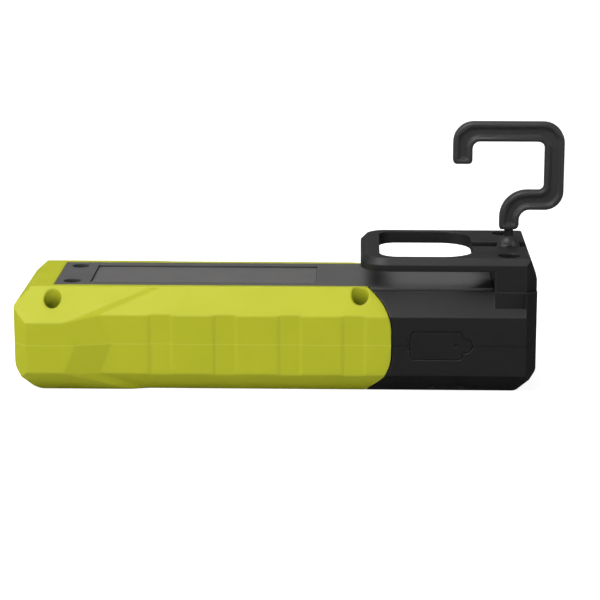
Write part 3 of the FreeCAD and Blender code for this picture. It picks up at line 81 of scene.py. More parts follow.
# ------------------------------------------------------------------ finishes
class NodeGraph:
    """A new material and the steps that wire its nodes."""

    def __init__(self, name: str) -> None:
        """Start a material with only its shader.

        Args:
            name: Name of the material.
        """
        self.made = bpy.data.materials.new(name)
        self.made.use_nodes = True
        self.tree = self.made.node_tree
        self.shader = self.tree.nodes["Principled BSDF"]
        self.coords = self.add("ShaderNodeTexCoord").outputs["Object"]

    def add(self, kind: str, **settings: object) -> bpy.types.Node:
        """Add one node.

        Args:
            kind: The node's type.
            settings: Properties to set on it.

        Returns:
            The node.
        """
        node = self.tree.nodes.new(kind)
        for name, value in settings.items():
            setattr(node, name, value)
        return node

    def link(self, start: bpy.types.NodeSocket, end: bpy.types.NodeSocket) -> None:
        """Join an output to an input."""
        self.tree.links.new(start, end)

    def noise(self, scale: float, detail: float = 2.0, stretch: Colour = (1, 1, 1)) -> bpy.types.NodeSocket:
        """Add noise fixed to the piece.

        Args:
            scale: Waves per metre.
            detail: How many finer layers it has.
            stretch: How much denser it is along each axis.

        Returns:
            The noise's value, about 0.5 on average.
        """
        mapping = self.add("ShaderNodeMapping")
        mapping.inputs["Scale"].default_value = stretch
        texture = self.add("ShaderNodeTexNoise")
        texture.inputs["Scale"].default_value = scale
        texture.inputs["Detail"].default_value = detail
        self.link(self.coords, mapping.inputs["Vector"])
        self.link(mapping.outputs["Vector"], texture.inputs["Vector"])
        return texture.outputs["Fac"]

    def ranged(self, value: bpy.types.NodeSocket, source: tuple[float, float],
               target: tuple[float, float]) -> bpy.types.NodeSocket:
        """Map a value from one range to another, held at its ends.

        Args:
            value: The value to map.
            source: Its two ends.
            target: What those ends become.

        Returns:
            The mapped value.
        """
        node = self.add("ShaderNodeMapRange")
        node.inputs["From Min"].default_value, node.inputs["From Max"].default_value = source
        node.inputs["To Min"].default_value, node.inputs["To Max"].default_value = target
        self.link(value, node.inputs["Value"])
        return node.outputs["Result"]

    def sums(self, kind: str, first: bpy.types.NodeSocket,
             second: bpy.types.NodeSocket | float = 0.0) -> bpy.types.NodeSocket:
        """Do arithmetic on one or two values.

        Args:
            kind: The operation.
            first: The first value.
            second: The other value, or a constant.

        Returns:
            The result.
        """
        node = self.add("ShaderNodeMath", operation=kind)
        self.link(first, node.inputs[0])
        if isinstance(second, float):
            node.inputs[1].default_value = second
        else:
            self.link(second, node.inputs[1])
        return node.outputs[0]

    def mix(self, factor: bpy.types.NodeSocket, first: bpy.types.NodeSocket | Colour,
            second: bpy.types.NodeSocket | Colour) -> bpy.types.NodeSocket:
        """Mix two colours.

        Args:
            factor: How much of the second shows.
            first: A colour or a socket.
            second: A colour or a socket.

        Returns:
            The mixed colour.
        """
        node = self.add("ShaderNodeMix", data_type="RGBA")
        self.link(factor, node.inputs["Factor"])
        for slot, colour in ((node.inputs[6], first), (node.inputs[7], second)):
            if isinstance(colour, tuple):
                slot.default_value = (*colour, 1.0)
            else:
                self.link(colour, slot)
        return node.outputs[2]

    def from_height(self, height: float) -> bpy.types.NodeSocket:
        """Distance from one height.

        Args:
            height: The height, in metres.

        Returns:
            The distance, in metres.
        """
        split = self.add("ShaderNodeSeparateXYZ")
        self.link(self.coords, split.inputs[0])
        return self.sums("ABSOLUTE", self.sums("SUBTRACT", split.outputs["Z"], height))

    def painted_hole_shade(self, reach: float) -> bpy.types.NodeSocket:
        """Mask of the painted shade in holes and inner corners, from ambient occlusion.

        Args:
            reach: How far off a wall counts, in metres.

        Returns:
            The mask, 1 far inside a hole.
        """
        node = self.add("ShaderNodeAmbientOcclusion", samples=BEVEL_SAMPLES)
        node.inputs["Distance"].default_value = reach
        return self.ranged(node.outputs["AO"], HOLE_SHADE_SPAN, (1.0, 0.0))

    def soft_edges(self, radius: float, line: bpy.types.NodeSocket | None = None
                   ) -> tuple[bpy.types.NodeSocket, bpy.types.NodeSocket]:
        """Round the look of the edges.

        Args:
            radius: Radius of the rounding, in metres.
            line: Distance from a parting line, where edges stay crisp.

        Returns:
            The rounded normal, and a mask that is 1 along the edges.
        """
        bevel = self.add("ShaderNodeBevel", samples=BEVEL_SAMPLES)
        bevel.inputs["Radius"].default_value = radius
        if line is not None:
            narrowed = self.ranged(line, (0.2 * MM, 2 * radius), (0.03 * MM, radius))
            self.link(narrowed, bevel.inputs["Radius"])
        facing = self.add("ShaderNodeNewGeometry").outputs["Normal"]
        product = self.add("ShaderNodeVectorMath", operation="DOT_PRODUCT")
        self.link(bevel.outputs["Normal"], product.inputs[0])
        self.link(facing, product.inputs[1])
        mask = self.ranged(product.outputs["Value"], EDGE_SPAN, (1.0, 0.0))
        return bevel.outputs["Normal"], mask

    def bump(self, height: bpy.types.NodeSocket, depth: float, strength: float,
             normal: bpy.types.NodeSocket | None = None) -> bpy.types.NodeSocket:
        """Turn a height into a bumped normal.

        Args:
            height: The height, 0 to 1.
            depth: Depth of the bumps, in metres.
            strength: How strongly they show.
            normal: The normal to start from, if not the face's.

        Returns:
            The bumped normal.
        """
        node = self.add("ShaderNodeBump")
        node.inputs["Distance"].default_value = depth
        node.inputs["Strength"].default_value = strength
        self.link(height, node.inputs["Height"])
        if normal is not None:
            self.link(normal, node.inputs["Normal"])
        return node.outputs["Normal"]


@dataclass(frozen=True)
class MouldedPlastic:
    """Injection-moulded plastic or rubber with a fine spark-eroded grain, a painted highlight along its edges
    and painted shade in its holes and inner corners.
    """

    name: str
    colour: Colour
    shade: Colour
    # colour of the painted highlight along the edges
    edge: Colour
    roughness: float = 0.45
    spread: float = 0.05
    specular: float = 0.5
    grain_scale: float = 2600.0
    grain_depth: float = 0.03 * MM
    mottle_scale: float = 55.0
    edge_radius: float = 0.6 * MM
    # share of the painted highlight along the edges
    edge_highlight_share: float = 0.5
    line_height: float | None = None
    line_colour: Colour = (0, 0, 0)
    line_width: float = 0.22 * MM
    line_share: float = 0.8
    # colour, reach and share of the painted shade in holes and inner corners
    hole_shade_colour: Colour = (0.002, 0.002, 0.002)
    hole_shade_reach: float = 4 * MM
    hole_shade_share: float = 0.6

    def material(self) -> bpy.types.Material:
        """Build the material.

        Returns:
            The finished material.
        """
        graph = NodeGraph(self.name)
        shader = graph.shader
        shader.inputs["Specular IOR Level"].default_value = self.specular
        line = None if self.line_height is None else graph.from_height(self.line_height)
        normal, edges = graph.soft_edges(self.edge_radius, line)
        broad = graph.noise(self.mottle_scale, 4.0)
        fine = graph.noise(self.grain_scale, 2.0)
        patchy = graph.ranged(broad, (0.3, 0.65), (0.35, 1.0))
        # Painted highlight: the edge colour mixed in along the edges, patchy with the broad noise.
        edge_highlight = graph.sums("MULTIPLY", graph.sums("MULTIPLY", edges, patchy), self.edge_highlight_share)
        base = graph.mix(graph.ranged(broad, NOISE_SPAN, (0.0, 1.0)), self.colour, self.shade)
        base = graph.mix(edge_highlight, base, self.edge)
        # Painted shade: holes and inner corners darken towards the shade colour.
        hole_shade_mask = graph.sums("MULTIPLY", graph.painted_hole_shade(self.hole_shade_reach), self.hole_shade_share)
        base = graph.mix(hole_shade_mask, base, self.hole_shade_colour)
        if line is not None:
            seam = graph.ranged(line, (self.line_width / 2, self.line_width), (self.line_share, 0.0))
            base = graph.mix(seam, base, self.line_colour)
        graph.link(base, shader.inputs["Base Color"])
        dull = graph.ranged(broad, NOISE_SPAN, (self.roughness - self.spread, self.roughness + self.spread))
        dull = graph.sums("ADD", dull, graph.ranged(fine, NOISE_SPAN, (-0.03, 0.03)))
        graph.link(dull, shader.inputs["Roughness"])
        graph.link(graph.bump(fine, self.grain_depth, 0.35, normal), shader.inputs["Normal"])
        return graph.made


@dataclass(frozen=True)
class Metal:
    """Bare or plated metal with fine turning marks."""

    name: str
    colour: Colour
    roughness: float = 0.35
    stretch: Colour = (1, 1, 12)

    def material(self) -> bpy.types.Material:
        """Build the material.

        Returns:
            The finished material.
        """
        graph = NodeGraph(self.name)
        shader = graph.shader
        shader.inputs["Metallic"].default_value = 1.0
        marks = graph.noise(900.0, 3.0, self.stretch)
        stain = graph.noise(140.0, 3.0)
        darker = tuple(0.7 * part for part in self.colour)
        graph.link(graph.mix(graph.ranged(stain, (0.4, 0.7), (0, 1)), self.colour, darker),
                   shader.inputs["Base Color"])
        graph.link(graph.ranged(marks, NOISE_SPAN, (self.roughness - 0.1, self.roughness + 0.1)),
                   shader.inputs["Roughness"])
        normal, _ = graph.soft_edges(0.2 * MM)
        graph.link(graph.bump(marks, 0.02 * MM, 0.3, normal), shader.inputs["Normal"])
        return graph.made


@dataclass(frozen=True)
class ClearPlastic:
    """Polished clear plastic with faint handling marks."""

    name: str = "clear_polycarbonate"
    tint: Colour = (0.93, 0.95, 0.95)

    def material(self) -> bpy.types.Material:
        """Build the material.

        Returns:
            The finished material.
        """
        graph = NodeGraph(self.name)
        shader = graph.shader
        shader.inputs["Transmission Weight"].default_value = 1.0
        shader.inputs["IOR"].default_value = 1.58
        shader.inputs["Base Color"].default_value = (*self.tint, 1.0)
        smudge = graph.noise(90.0, 4.0)
        graph.link(graph.ranged(smudge, (0.45, 0.75), (0.02, 0.11)), shader.inputs["Roughness"])
        return graph.made


@dataclass(frozen=True)
class CircuitBoard:
    """Solder mask over copper tracks on a laminate board."""

    name: str = "circuit_board"
    mask: Colour = (0.012, 0.10, 0.035)
    track: Colour = (0.03, 0.20, 0.07)

    def material(self) -> bpy.types.Material:
        """Build the material.

        Returns:
            The finished material.
        """
        graph = NodeGraph(self.name)
        shader = graph.shader
        bricks = graph.add("ShaderNodeTexBrick", offset=0.37)
        bricks.inputs["Scale"].default_value = 220.0
        bricks.inputs["Mortar Size"].default_value = 0.06
        graph.link(graph.coords, bricks.inputs["Vector"])
        weave = graph.noise(1600.0, 2.0)
        tracks = graph.mix(bricks.outputs["Fac"], self.mask, self.track)
        graph.link(graph.mix(graph.ranged(weave, (0.4, 0.8), (0.0, 0.3)), tracks, self.track),
                   shader.inputs["Base Color"])
        graph.link(graph.ranged(weave, NOISE_SPAN, (0.25, 0.4)), shader.inputs["Roughness"])
        graph.link(graph.bump(bricks.outputs["Fac"], 0.04 * MM, 0.5), shader.inputs["Normal"])
        return graph.made


# Lime's holes take a dark green painted shade; the panel and hook nylon set their own reach and share for it.
LIME = MouldedPlastic("lime_shell_plastic", (0.595, 0.625, 0.021), (0.57, 0.605, 0.019), (0.70, 0.72, 0.10),
                      roughness=0.50, specular=0.35, grain_depth=0.02 * MM, edge_radius=1.4 * MM,
                      edge_highlight_share=0.35, line_height=SEAM_HEIGHT, line_colour=(0.70, 0.73, 0.08), line_share=0.6,
                      hole_shade_colour=(0.10, 0.13, 0.004), hole_shade_reach=7 * MM, hole_shade_share=0.85)
BLACK = MouldedPlastic("black_housing_plastic", (0.0185, 0.0185, 0.0203), (0.0155, 0.0155, 0.017),
                       (0.06, 0.06, 0.063), line_height=SEAM_HEIGHT, line_colour=(0.002, 0.002, 0.002))
BRACKET = MouldedPlastic("black_bracket_plastic", (0.0185, 0.0185, 0.0203), (0.0155, 0.0155, 0.017),
                         (0.06, 0.06, 0.063), roughness=0.47, edge_radius=0.8 * MM)
PANEL = MouldedPlastic("panel_plastic", (0.118, 0.118, 0.117), (0.106, 0.106, 0.105), (0.14, 0.14, 0.14),
                       roughness=0.55, grain_scale=3200.0, hole_shade_reach=6 * MM, hole_shade_share=0.95)
LABEL = MouldedPlastic("blank_label_film", (0.165, 0.160, 0.158), (0.150, 0.146, 0.146), (0.16, 0.16, 0.16),
                       roughness=0.40, grain_scale=4200.0, grain_depth=0.01 * MM, edge_radius=0.1 * MM)
NYLON = MouldedPlastic("hook_nylon", (0.047, 0.047, 0.050), (0.040, 0.040, 0.043), (0.08, 0.08, 0.083),
                       roughness=0.42, grain_scale=1900.0, hole_shade_reach=1.5 * MM, hole_shade_share=0.3)
RUBBER = MouldedPlastic("black_rubber", (0.0175, 0.0175, 0.0187), (0.014, 0.014, 0.015),
                        (0.034, 0.034, 0.034), roughness=0.62, grain_scale=3600.0, specular=0.35,
                        edge_radius=0.3 * MM)
BEZEL = MouldedPlastic("bezel_gloss_plastic", (0.012, 0.012, 0.012), (0.010, 0.010, 0.010),
                       (0.04, 0.04, 0.04), roughness=0.20, grain_depth=0.005 * MM, edge_radius=0.3 * MM)
WHITE = MouldedPlastic("reflector_white_plastic", (0.82, 0.82, 0.80), (0.77, 0.77, 0.75), (0.85, 0.85, 0.84),
                       roughness=0.25, grain_depth=0.005 * MM)
PHOSPHOR = MouldedPlastic("phosphor_silicone", (0.80, 0.62, 0.06), (0.74, 0.55, 0.05), (0.85, 0.72, 0.20),
                          roughness=0.42, grain_scale=5200.0, edge_radius=0.1 * MM)
CHIP = MouldedPlastic("moulded_component", (0.02, 0.02, 0.021), (0.016, 0.016, 0.017), (0.05, 0.05, 0.05),
                      roughness=0.5, grain_scale=4200.0, edge_radius=0.2 * MM)
WRAP = MouldedPlastic("cell_shrink_wrap", (0.02, 0.11, 0.33), (0.018, 0.095, 0.29), (0.08, 0.2, 0.45),
                      roughness=0.22, grain_scale=500.0, edge_radius=0.3 * MM)
WIRE = MouldedPlastic("wire_insulation", (0.45, 0.012, 0.012), (0.38, 0.010, 0.010), (0.6, 0.1, 0.1),
                      roughness=0.38, edge_radius=0.1 * MM)
OXIDE_STEEL = Metal("oxide_steel", (0.10, 0.10, 0.105), 0.42)
PIN_STEEL = Metal("pin_steel", (0.50, 0.50, 0.52), 0.30)
NICKEL = Metal("nickel_plate", (0.62, 0.59, 0.54), 0.25)
ALUMINIUM = Metal("extruded_aluminium", (0.74, 0.75, 0.76), 0.38, (12, 1, 1))
CLEAR = ClearPlastic()
BOARD = CircuitBoard()
Finish = MouldedPlastic | Metal | ClearPlastic | CircuitBoard


class Workshop:
    """Modelling and dressing steps that the pieces share."""

    _ready: dict[str, bpy.types.Material] = {}

    @classmethod
    def paint(cls, piece: bpy.types.Object, finish: Finish) -> None:
        """Give a piece its finish.

        Args:
            piece: A new piece or a node of the frame.
            finish: Its finish.
        """
        if finish.name not in cls._ready:
            cls._ready[finish.name] = finish.material()
        piece.data.materials.clear()
        piece.data.materials.append(cls._ready[finish.name])

    @classmethod
    def dress(cls, finish: Finish, *names: str) -> None:
        """Give nodes of the frame their finish.

        Args:
            finish: The finish.
            names: The nodes.
        """
        for name in names:
            cls.paint(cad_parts[name], finish)
            LOG.info("dressed %s", name)

    @staticmethod
    def select(piece: bpy.types.Object) -> None:
        """Make a piece the only selected one, and the active one."""
        bpy.ops.object.select_all(action="DESELECT")
        piece.select_set(True)
        bpy.context.view_layer.objects.active = piece

    @staticmethod
    def settle(piece: bpy.types.Object, name: str) -> bpy.types.Object:
        """Name a new primitive and put its place into its mesh."""
        piece.name = name
        bpy.ops.object.transform_apply(location=True, rotation=True, scale=True)
        return piece

    @classmethod
    def block(cls, name: str, low: Vector, high: Vector) -> bpy.types.Object:
        """Add a block between two corners.

        Args:
            name: Name of the piece.
            low: Its lowest corner, in metres.
            high: Its highest corner.

        Returns:
            The block.
        """
        bpy.ops.object.select_all(action="DESELECT")
        bpy.ops.mesh.primitive_cube_add(size=1.0, location=(low + high) / 2, scale=high - low)
        return cls.settle(bpy.context.object, name)

    @classmethod
    def disc(cls, name: str, foot: Vector, radius: float, height: float, sides: int = 64) -> bpy.types.Object:
        """Add an upright cylinder.

        Args:
            name: Name of the piece.
            foot: Centre of its lower face.
            radius: Its radius.
            height: Its height.
            sides: How many sides it has.

        Returns:
            The cylinder.
        """
        bpy.ops.object.select_all(action="DESELECT")
        middle = foot + Vector((0, 0, height / 2))
        bpy.ops.mesh.primitive_cylinder_add(vertices=sides, radius=radius, depth=height, location=middle)
        return cls.settle(bpy.context.object, name)

    @staticmethod
    @contextmanager
    def editing(piece: bpy.types.Object) -> Iterator[None]:
        """Edit one piece's mesh, with nothing selected at the start.

        Args:
            piece: The piece to edit.
        """
        Workshop.select(piece)
        bpy.ops.object.mode_set(mode="EDIT")
        bpy.ops.mesh.select_all(action="DESELECT")
        yield
        bpy.ops.object.mode_set(mode="OBJECT")

    @staticmethod
    def pick_faces(piece: bpy.types.Object, wanted: Callable[[Vector, Vector], bool]) -> None:
        """Select faces by their middle and normal.

        Args:
            piece: The piece in edit mode.
            wanted: Says whether a face is selected.
        """
        bpy.ops.mesh.select_mode(type="FACE")
        bpy.ops.mesh.select_all(action="DESELECT")
        mesh = bmesh.from_edit_mesh(piece.data)
        mesh.normal_update()
        for face in mesh.faces:
            face.select_set(wanted(face.calc_center_median(), face.normal))
        bmesh.update_edit_mesh(piece.data)

    @staticmethod
    def pick_edges(piece: bpy.types.Object, wanted: Callable[[Vector, Vector], bool]) -> None:
        """Select edges by their middle and direction.

        Args:
            piece: The piece in edit mode.
            wanted: Says whether an edge is selected.
        """
        bpy.ops.mesh.select_mode(type="EDGE")
        bpy.ops.mesh.select_all(action="DESELECT")
        mesh = bmesh.from_edit_mesh(piece.data)
        for edge in mesh.edges:
            start, end = (corner.co for corner in edge.verts)
            edge.select_set(wanted((start + end) / 2, (end - start).normalized()))
        bmesh.update_edit_mesh(piece.data)

    @staticmethod
    def round_off(piece: bpy.types.Object, width: float, segments: int = 3, angle: float = 30.0) -> None:
        """Round a piece's edges and smooth its shading.

        Args:
            piece: The piece.
            width: Width of the rounding, in metres.
            segments: Its number of steps.
            angle: Edges sharper than this are rounded, in degrees.
        """
        Workshop.select(piece)
        bpy.ops.object.modifier_add(type="BEVEL")
        rounding = piece.modifiers[-1]
        rounding.width = width
        rounding.segments = segments
        rounding.limit_method = "ANGLE"
        rounding.angle_limit = math.radians(angle)
        bpy.ops.object.modifier_apply(modifier=rounding.name)
        bpy.ops.object.shade_smooth_by_angle(angle=math.radians(SMOOTH_DEG))

    @staticmethod
    def cut(piece: bpy.types.Object, cutter: bpy.types.Object) -> None:
        """Cut one piece's shape out of another and remove the cutter."""
        Workshop.select(piece)
        bpy.ops.object.modifier_add(type="BOOLEAN")
        cutting = piece.modifiers[-1]
        cutting.operation = "DIFFERENCE"
        cutting.solver = "EXACT"
        cutting.object = cutter
        bpy.ops.object.modifier_apply(modifier=cutting.name)
        bpy.data.objects.remove(cutter, do_unlink=True)

    @staticmethod
    def copy(piece: bpy.types.Object, move: Vector) -> bpy.types.Object:
        """Copy a piece with its own mesh, moved.

        Args:
            piece: The piece to copy.
            move: How far the copy moves, in metres.

        Returns:
            The copy, with its place in its mesh.
        """
        Workshop.select(piece)
        bpy.ops.object.duplicate(linked=False)
        bpy.ops.transform.translate(value=move)
        bpy.ops.object.transform_apply(location=True, rotation=True, scale=True)
        return bpy.context.object

    @staticmethod
    def join(name: str, parts: list[bpy.types.Object]) -> bpy.types.Object:
        """Join several pieces into one.

        Args:
            name: Name of the joined piece.
            parts: The pieces, at least two.

        Returns:
            The joined piece.
        """
        bpy.ops.object.select_all(action="DESELECT")
        for part in parts:
            part.select_set(True)
        bpy.context.view_layer.objects.active = parts[0]
        bpy.ops.object.join()
        parts[0].name = name
        return parts[0]

    @classmethod
    def hand_over(cls, piece: bpy.types.Object, body: Body, slot: str, finish: Finish, *nodes: str) -> None:
        """Paint a finished piece and fix it to its body.

        Args:
            piece: The piece.
            body: The body that it rides on.
            slot: A material slot's name; not used.
            finish: Its finish.
            nodes: Nodes of the frame that it stands for.
        """
        cls.paint(piece, finish)
        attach(piece, body.value)
        if nodes:
            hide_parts(*nodes)
        LOG.info("built %s", piece.name)


# -------------------------------------------------------------- sub-assemblies
@dataclass
class GripShells:
    """Two lime half shells with their flutes and screw holes."""

    shells: tuple[str, ...] = ("grip_front", "grip_rear")

    def dress(self) -> None:
        """Give the shells their lime finish."""
        Workshop.dress(LIME, *self.shells)


@dataclass
class HeadHousing:
    """Black front and rear housings, the battery cover and its blank label."""

    housings: tuple[str, ...] = ("front_housing", "rear_housing")

    def dress(self) -> None:
        """Give the housings, the cover and the label their finishes."""
        Workshop.dress(BLACK, *self.housings)
        Workshop.dress(PANEL, "rear_panel")
        Workshop.dress(LABEL, "label_plate")


@dataclass
class ScrewSet:
    """Screws of one size, modelled once and copied."""

    node: str
    head_radius: float
    head_height: float
    shank_radius: float
    socket_radius: float
    socket_depth: float
    rows: int = 1
    second_row_in: float = 0.0
    edge_round: float = 0.25 * MM
    point_share: float = 0.25   # of the shank's radius

    def build(self) -> None:
        """Model the first screw, copy it to the other places and join them."""
        low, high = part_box(self.node)
        first = Vector((low.x + self.head_radius, low.y + self.head_radius, high.z))
        screw = self.screw(first, first.z - low.z)
        screws = [screw]
        for place in self.places(low, high)[1:]:
            screws.append(Workshop.copy(screw, place - first))
        whole = Workshop.join(f"{self.node}_modelled", screws)
        Workshop.hand_over(whole, Body.LIGHT, "screw_steel", OXIDE_STEEL, self.node)

    def places(self, low: Vector, high: Vector) -> list[Vector]:
        """Tops of the screws.

        Args:
            low: Lowest corner round them all.
            high: Highest corner.

        Returns:
            The middle of each head's top.
        """
        radius = self.head_radius
        found = []
        for row in range(self.rows):
            x = high.x - radius if row else low.x + radius
            inward = self.second_row_in * row
            for y in (low.y + radius + inward, high.y - radius - inward):
                found.append(Vector((x, y, high.z)))
        return found

    def screw(self, top: Vector, length: float) -> bpy.types.Object:
        """Model one screw.

        Args:
            top: Middle of its head's top.
            length: Its length over all.

        Returns:
            The screw.
        """
        foot = top - Vector((0, 0, length))
        screw = Workshop.disc("screw", foot, self.shank_radius, length - self.head_height, sides=32)
        head_z = top.z - self.head_height
        with Workshop.editing(screw):
            Workshop.pick_faces(screw, lambda _, normal: normal.z > SAME_WAY)
            bpy.ops.mesh.extrude_region_move(TRANSFORM_OT_translate={"value": (0, 0, 0)})
            ratio = self.head_radius / self.shank_radius
            bpy.ops.transform.resize(value=(ratio, ratio, 1), center_override=(top.x, top.y, head_z))
            bpy.ops.mesh.extrude_region_move(TRANSFORM_OT_translate={"value": (0, 0, self.head_height)})
            Workshop.pick_faces(screw, lambda _, normal: normal.z < -SAME_WAY)
            bpy.ops.mesh.inset(thickness=self.shank_radius * self.point_share)
        socket_foot = top - Vector((0, 0, self.socket_depth))
        socket = Workshop.disc("socket", socket_foot, self.socket_radius, self.socket_depth * 2, sides=6)
        Workshop.cut(screw, socket)
        Workshop.round_off(screw, self.edge_round, segments=2, angle=50)
        return screw


GRIP_SCREWS = ScrewSet("grip_screws", head_radius=2.8 * MM, head_height=2.1 * MM, shank_radius=1.45 * MM,
                       socket_radius=1.2 * MM, socket_depth=1.1 * MM, rows=2, second_row_in=1.9 * MM)
PANEL_SCREWS = ScrewSet("panel_screws", head_radius=2.8 * MM, head_height=2.1 * MM,
                        shank_radius=1.45 * MM, socket_radius=1.2 * MM, socket_depth=1.1 * MM)
BRACKET_SCREWS = ScrewSet("bracket_screws", head_radius=3.3 * MM, head_height=2.4 * MM,
                          shank_radius=1.75 * MM, socket_radius=1.4 * MM, socket_depth=1.2 * MM)


@dataclass(frozen=True)
class HookLine:
    """The hook's outline as square-cornered runs, moved in from its real edge by inset."""

    left: float
    right: float
    foot: float
    turn: float
    bar: float
    reach: float
    top: float
    tip_side: float
    tip: float
    inset: float = 0.0

    def steps(self) -> list[tuple[Direction, float]]:
        """The way and length of each extrusion after the neck's block."""
        bar = self.bar
        return [
            (Direction.REAR, bar), (Direction.HEAD, self.reach - bar - self.right), (Direction.HEAD, bar),
            (Direction.REAR, self.top - self.turn - 2 * bar), (Direction.REAR, bar),
            (Direction.TAIL, self.reach - self.tip_side - 2 * bar), (Direction.TAIL, bar),
            (Direction.FRONT, self.top - bar - self.tip),
        ]

    def moved_in(self, inset: float) -> "HookLine":
        """The same outline, narrower by inset on every side."""
        return HookLine(self.left + inset, self.right - inset, self.foot + inset, self.turn + inset,
                        self.bar - 2 * inset, self.reach - inset, self.top - inset,
                        self.tip_side + inset, self.tip + inset, inset)


@dataclass
class SwivelHook:
    """Hook bar with a recess along both faces, its steel stem and its knuckle."""

    bar: float = 7.3 * MM
    thickness: float = 5.5 * MM
    neck_rise: float = 7.6 * MM
    tip_drop: float = 8.6 * MM
    outer_round: float = 7.8 * MM
    low_outer_round: float = 7.1 * MM
    neck_outer_round: float = 10.5 * MM
    neck_inner_round: float = 4.0 * MM
    inner_round: float = 2.8 * MM
    low_inner_round: float = 2.0 * MM
    tip_round: float = 1.5 * MM
    foot_round: float = 1.9 * MM
    rim_round: float = 0.9 * MM
    groove_edge: float = 1.7 * MM
    groove_depth: float = 0.9 * MM
    groove_steps: int = 3
    groove_slope: float = 0.28 * MM
    bend_segments: int = 12
    least_round: float = 0.3 * MM

    def build(self) -> None:
        """Model the bar, cut its recesses, and dress the knuckle and stem."""
        half = self.thickness / 2
        line = self.outline()
        hook = self.run_bar("hook_bar", line, -half, half)
        Workshop.round_off(hook, self.rim_round, segments=4, angle=40)
        for step in range(1, self.groove_steps + 1):
            inner = line.moved_in(self.groove_edge + step * self.groove_slope)
            floor = half - self.groove_depth * step / self.groove_steps
            for near, far in ((floor, half + MM), (-half - MM, -floor)):
                Workshop.cut(hook, self.run_bar("recess", inner, near, far))
        Workshop.hand_over(hook, Body.HOOK, "hook_nylon", NYLON, "hook_arm")
        Workshop.dress(NYLON, "swivel_knuckle")
        Workshop.dress(PIN_STEEL, "shank_screw")
        Workshop.dress(OXIDE_STEEL, "hook_shank", "pivot_pins", "friction_washers")

    def outline(self) -> HookLine:
        """The hook's outline from its node's corners and its stem's centre."""
        low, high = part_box("hook_arm")
        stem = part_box("hook_shank")
        centre = (stem[0].x + stem[1].x) / 2
        return HookLine(centre - self.bar / 2, centre + self.bar / 2, low.z, low.z + self.neck_rise,
                        self.bar, high.x, high.z, low.x, high.z - self.bar - self.tip_drop)

    def run_bar(self, name: str, line: HookLine, near: float, far: float) -> bpy.types.Object:
        """Extrude a bar along the hook, from foot to tip, and round its bends.

        Args:
            name: Name of the piece.
            line: Its outline.
            near: Its lowest Y.
            far: Its highest Y.

        Returns:
            The bar.
        """
        block = (Vector((line.left, near, line.foot)), Vector((line.right, far, line.turn)))
        bar = Workshop.block(name, *block)
        with Workshop.editing(bar):
            for direction, length in line.steps():
                block = self.extrude_block(bar, block, direction.value, length)
            bpy.ops.mesh.select_all(action="SELECT")
            bpy.ops.mesh.dissolve_limited(angle_limit=math.radians(1))
            for x, z, radius in self.bends(line):
                Workshop.pick_edges(bar, lambda place, way: abs(way.y) > SAME_WAY
                                    and abs(place.x - x) < SAME_PLACE and abs(place.z - z) < SAME_PLACE)
                bpy.ops.mesh.bevel(offset=radius, segments=self.bend_segments, profile=0.5,
                                   affect="EDGES", clamp_overlap=False)
        return bar

    def bends(self, line: HookLine) -> list[tuple[float, float, float]]:
        """Corners of the outline and their radii.

        Args:
            line: The outline.

        Returns:
            X, Z and radius of each corner.
        """
        bar, inset = line.bar, line.inset
        convex = [
            (line.left, line.turn + bar, self.neck_outer_round),
            (line.reach, line.turn, self.low_outer_round),
            (line.reach, line.top, self.outer_round), (line.tip_side, line.top, self.outer_round),
            (line.tip_side, line.tip, self.tip_round), (line.tip_side + bar, line.tip, self.tip_round),
            (line.right, line.foot, self.foot_round),
        ]
        concave = [
            (line.right, line.turn, self.neck_inner_round),
            (line.reach - bar, line.turn + bar, self.low_inner_round),
            (line.reach - bar, line.top - bar, self.inner_round),
            (line.tip_side + bar, line.top - bar, self.inner_round),
        ]
        return ([(x, z, max(radius - inset, self.least_round)) for x, z, radius in convex]
                + [(x, z, radius + inset) for x, z, radius in concave])

    @staticmethod
    def extrude_block(bar: bpy.types.Object, block: tuple[Vector, Vector], direction: Vector,
                      length: float) -> tuple[Vector, Vector]:
        """Extrude the last block's face in one direction.

        Args:
            bar: The bar in edit mode.
            block: Corners of the last block.
            direction: The way that its face looks.
            length: How far it goes.

        Returns:
            Corners of the new block.
        """
        low, high = block
        side = Vector(far if way > 0 else near for near, far, way in zip(low, high, direction))
        middle = (low + high) / 2
        face = Vector(edge if way else centre for edge, centre, way in zip(side, middle, direction))
        Workshop.pick_faces(bar, lambda place, normal: (place - face).length < SAME_PLACE
                            and normal.dot(direction) > SAME_WAY)
        bpy.ops.mesh.extrude_region_move(TRANSFORM_OT_translate={"value": direction * length})
        start = Vector(edge if way else near for edge, near, way in zip(side, low, direction))
        end = Vector(edge + way * length if way else far
                     for edge, far, way in zip(side, high, direction))
        return (Vector(map(min, start, end)), Vector(map(max, start, end)))


@dataclass
class CarryRing:
    """Rigid belt ring with its foot, the block under the pivot and the bracket's screws."""

    screws: ScrewSet

    def build(self) -> None:
        """Dress the ring and model its screws."""
        Workshop.dress(BRACKET, "hook_bracket", "pivot_retainer")
        self.screws.build()


@dataclass
class PortFlap:
    """Rubber cover of the charging socket and its strap."""

    def dress(self) -> None:
        """Give the cover and strap their rubber finish."""
        Workshop.dress(RUBBER, "port_cover", "port_strap")
        Workshop.dress(NICKEL, "usb_socket")


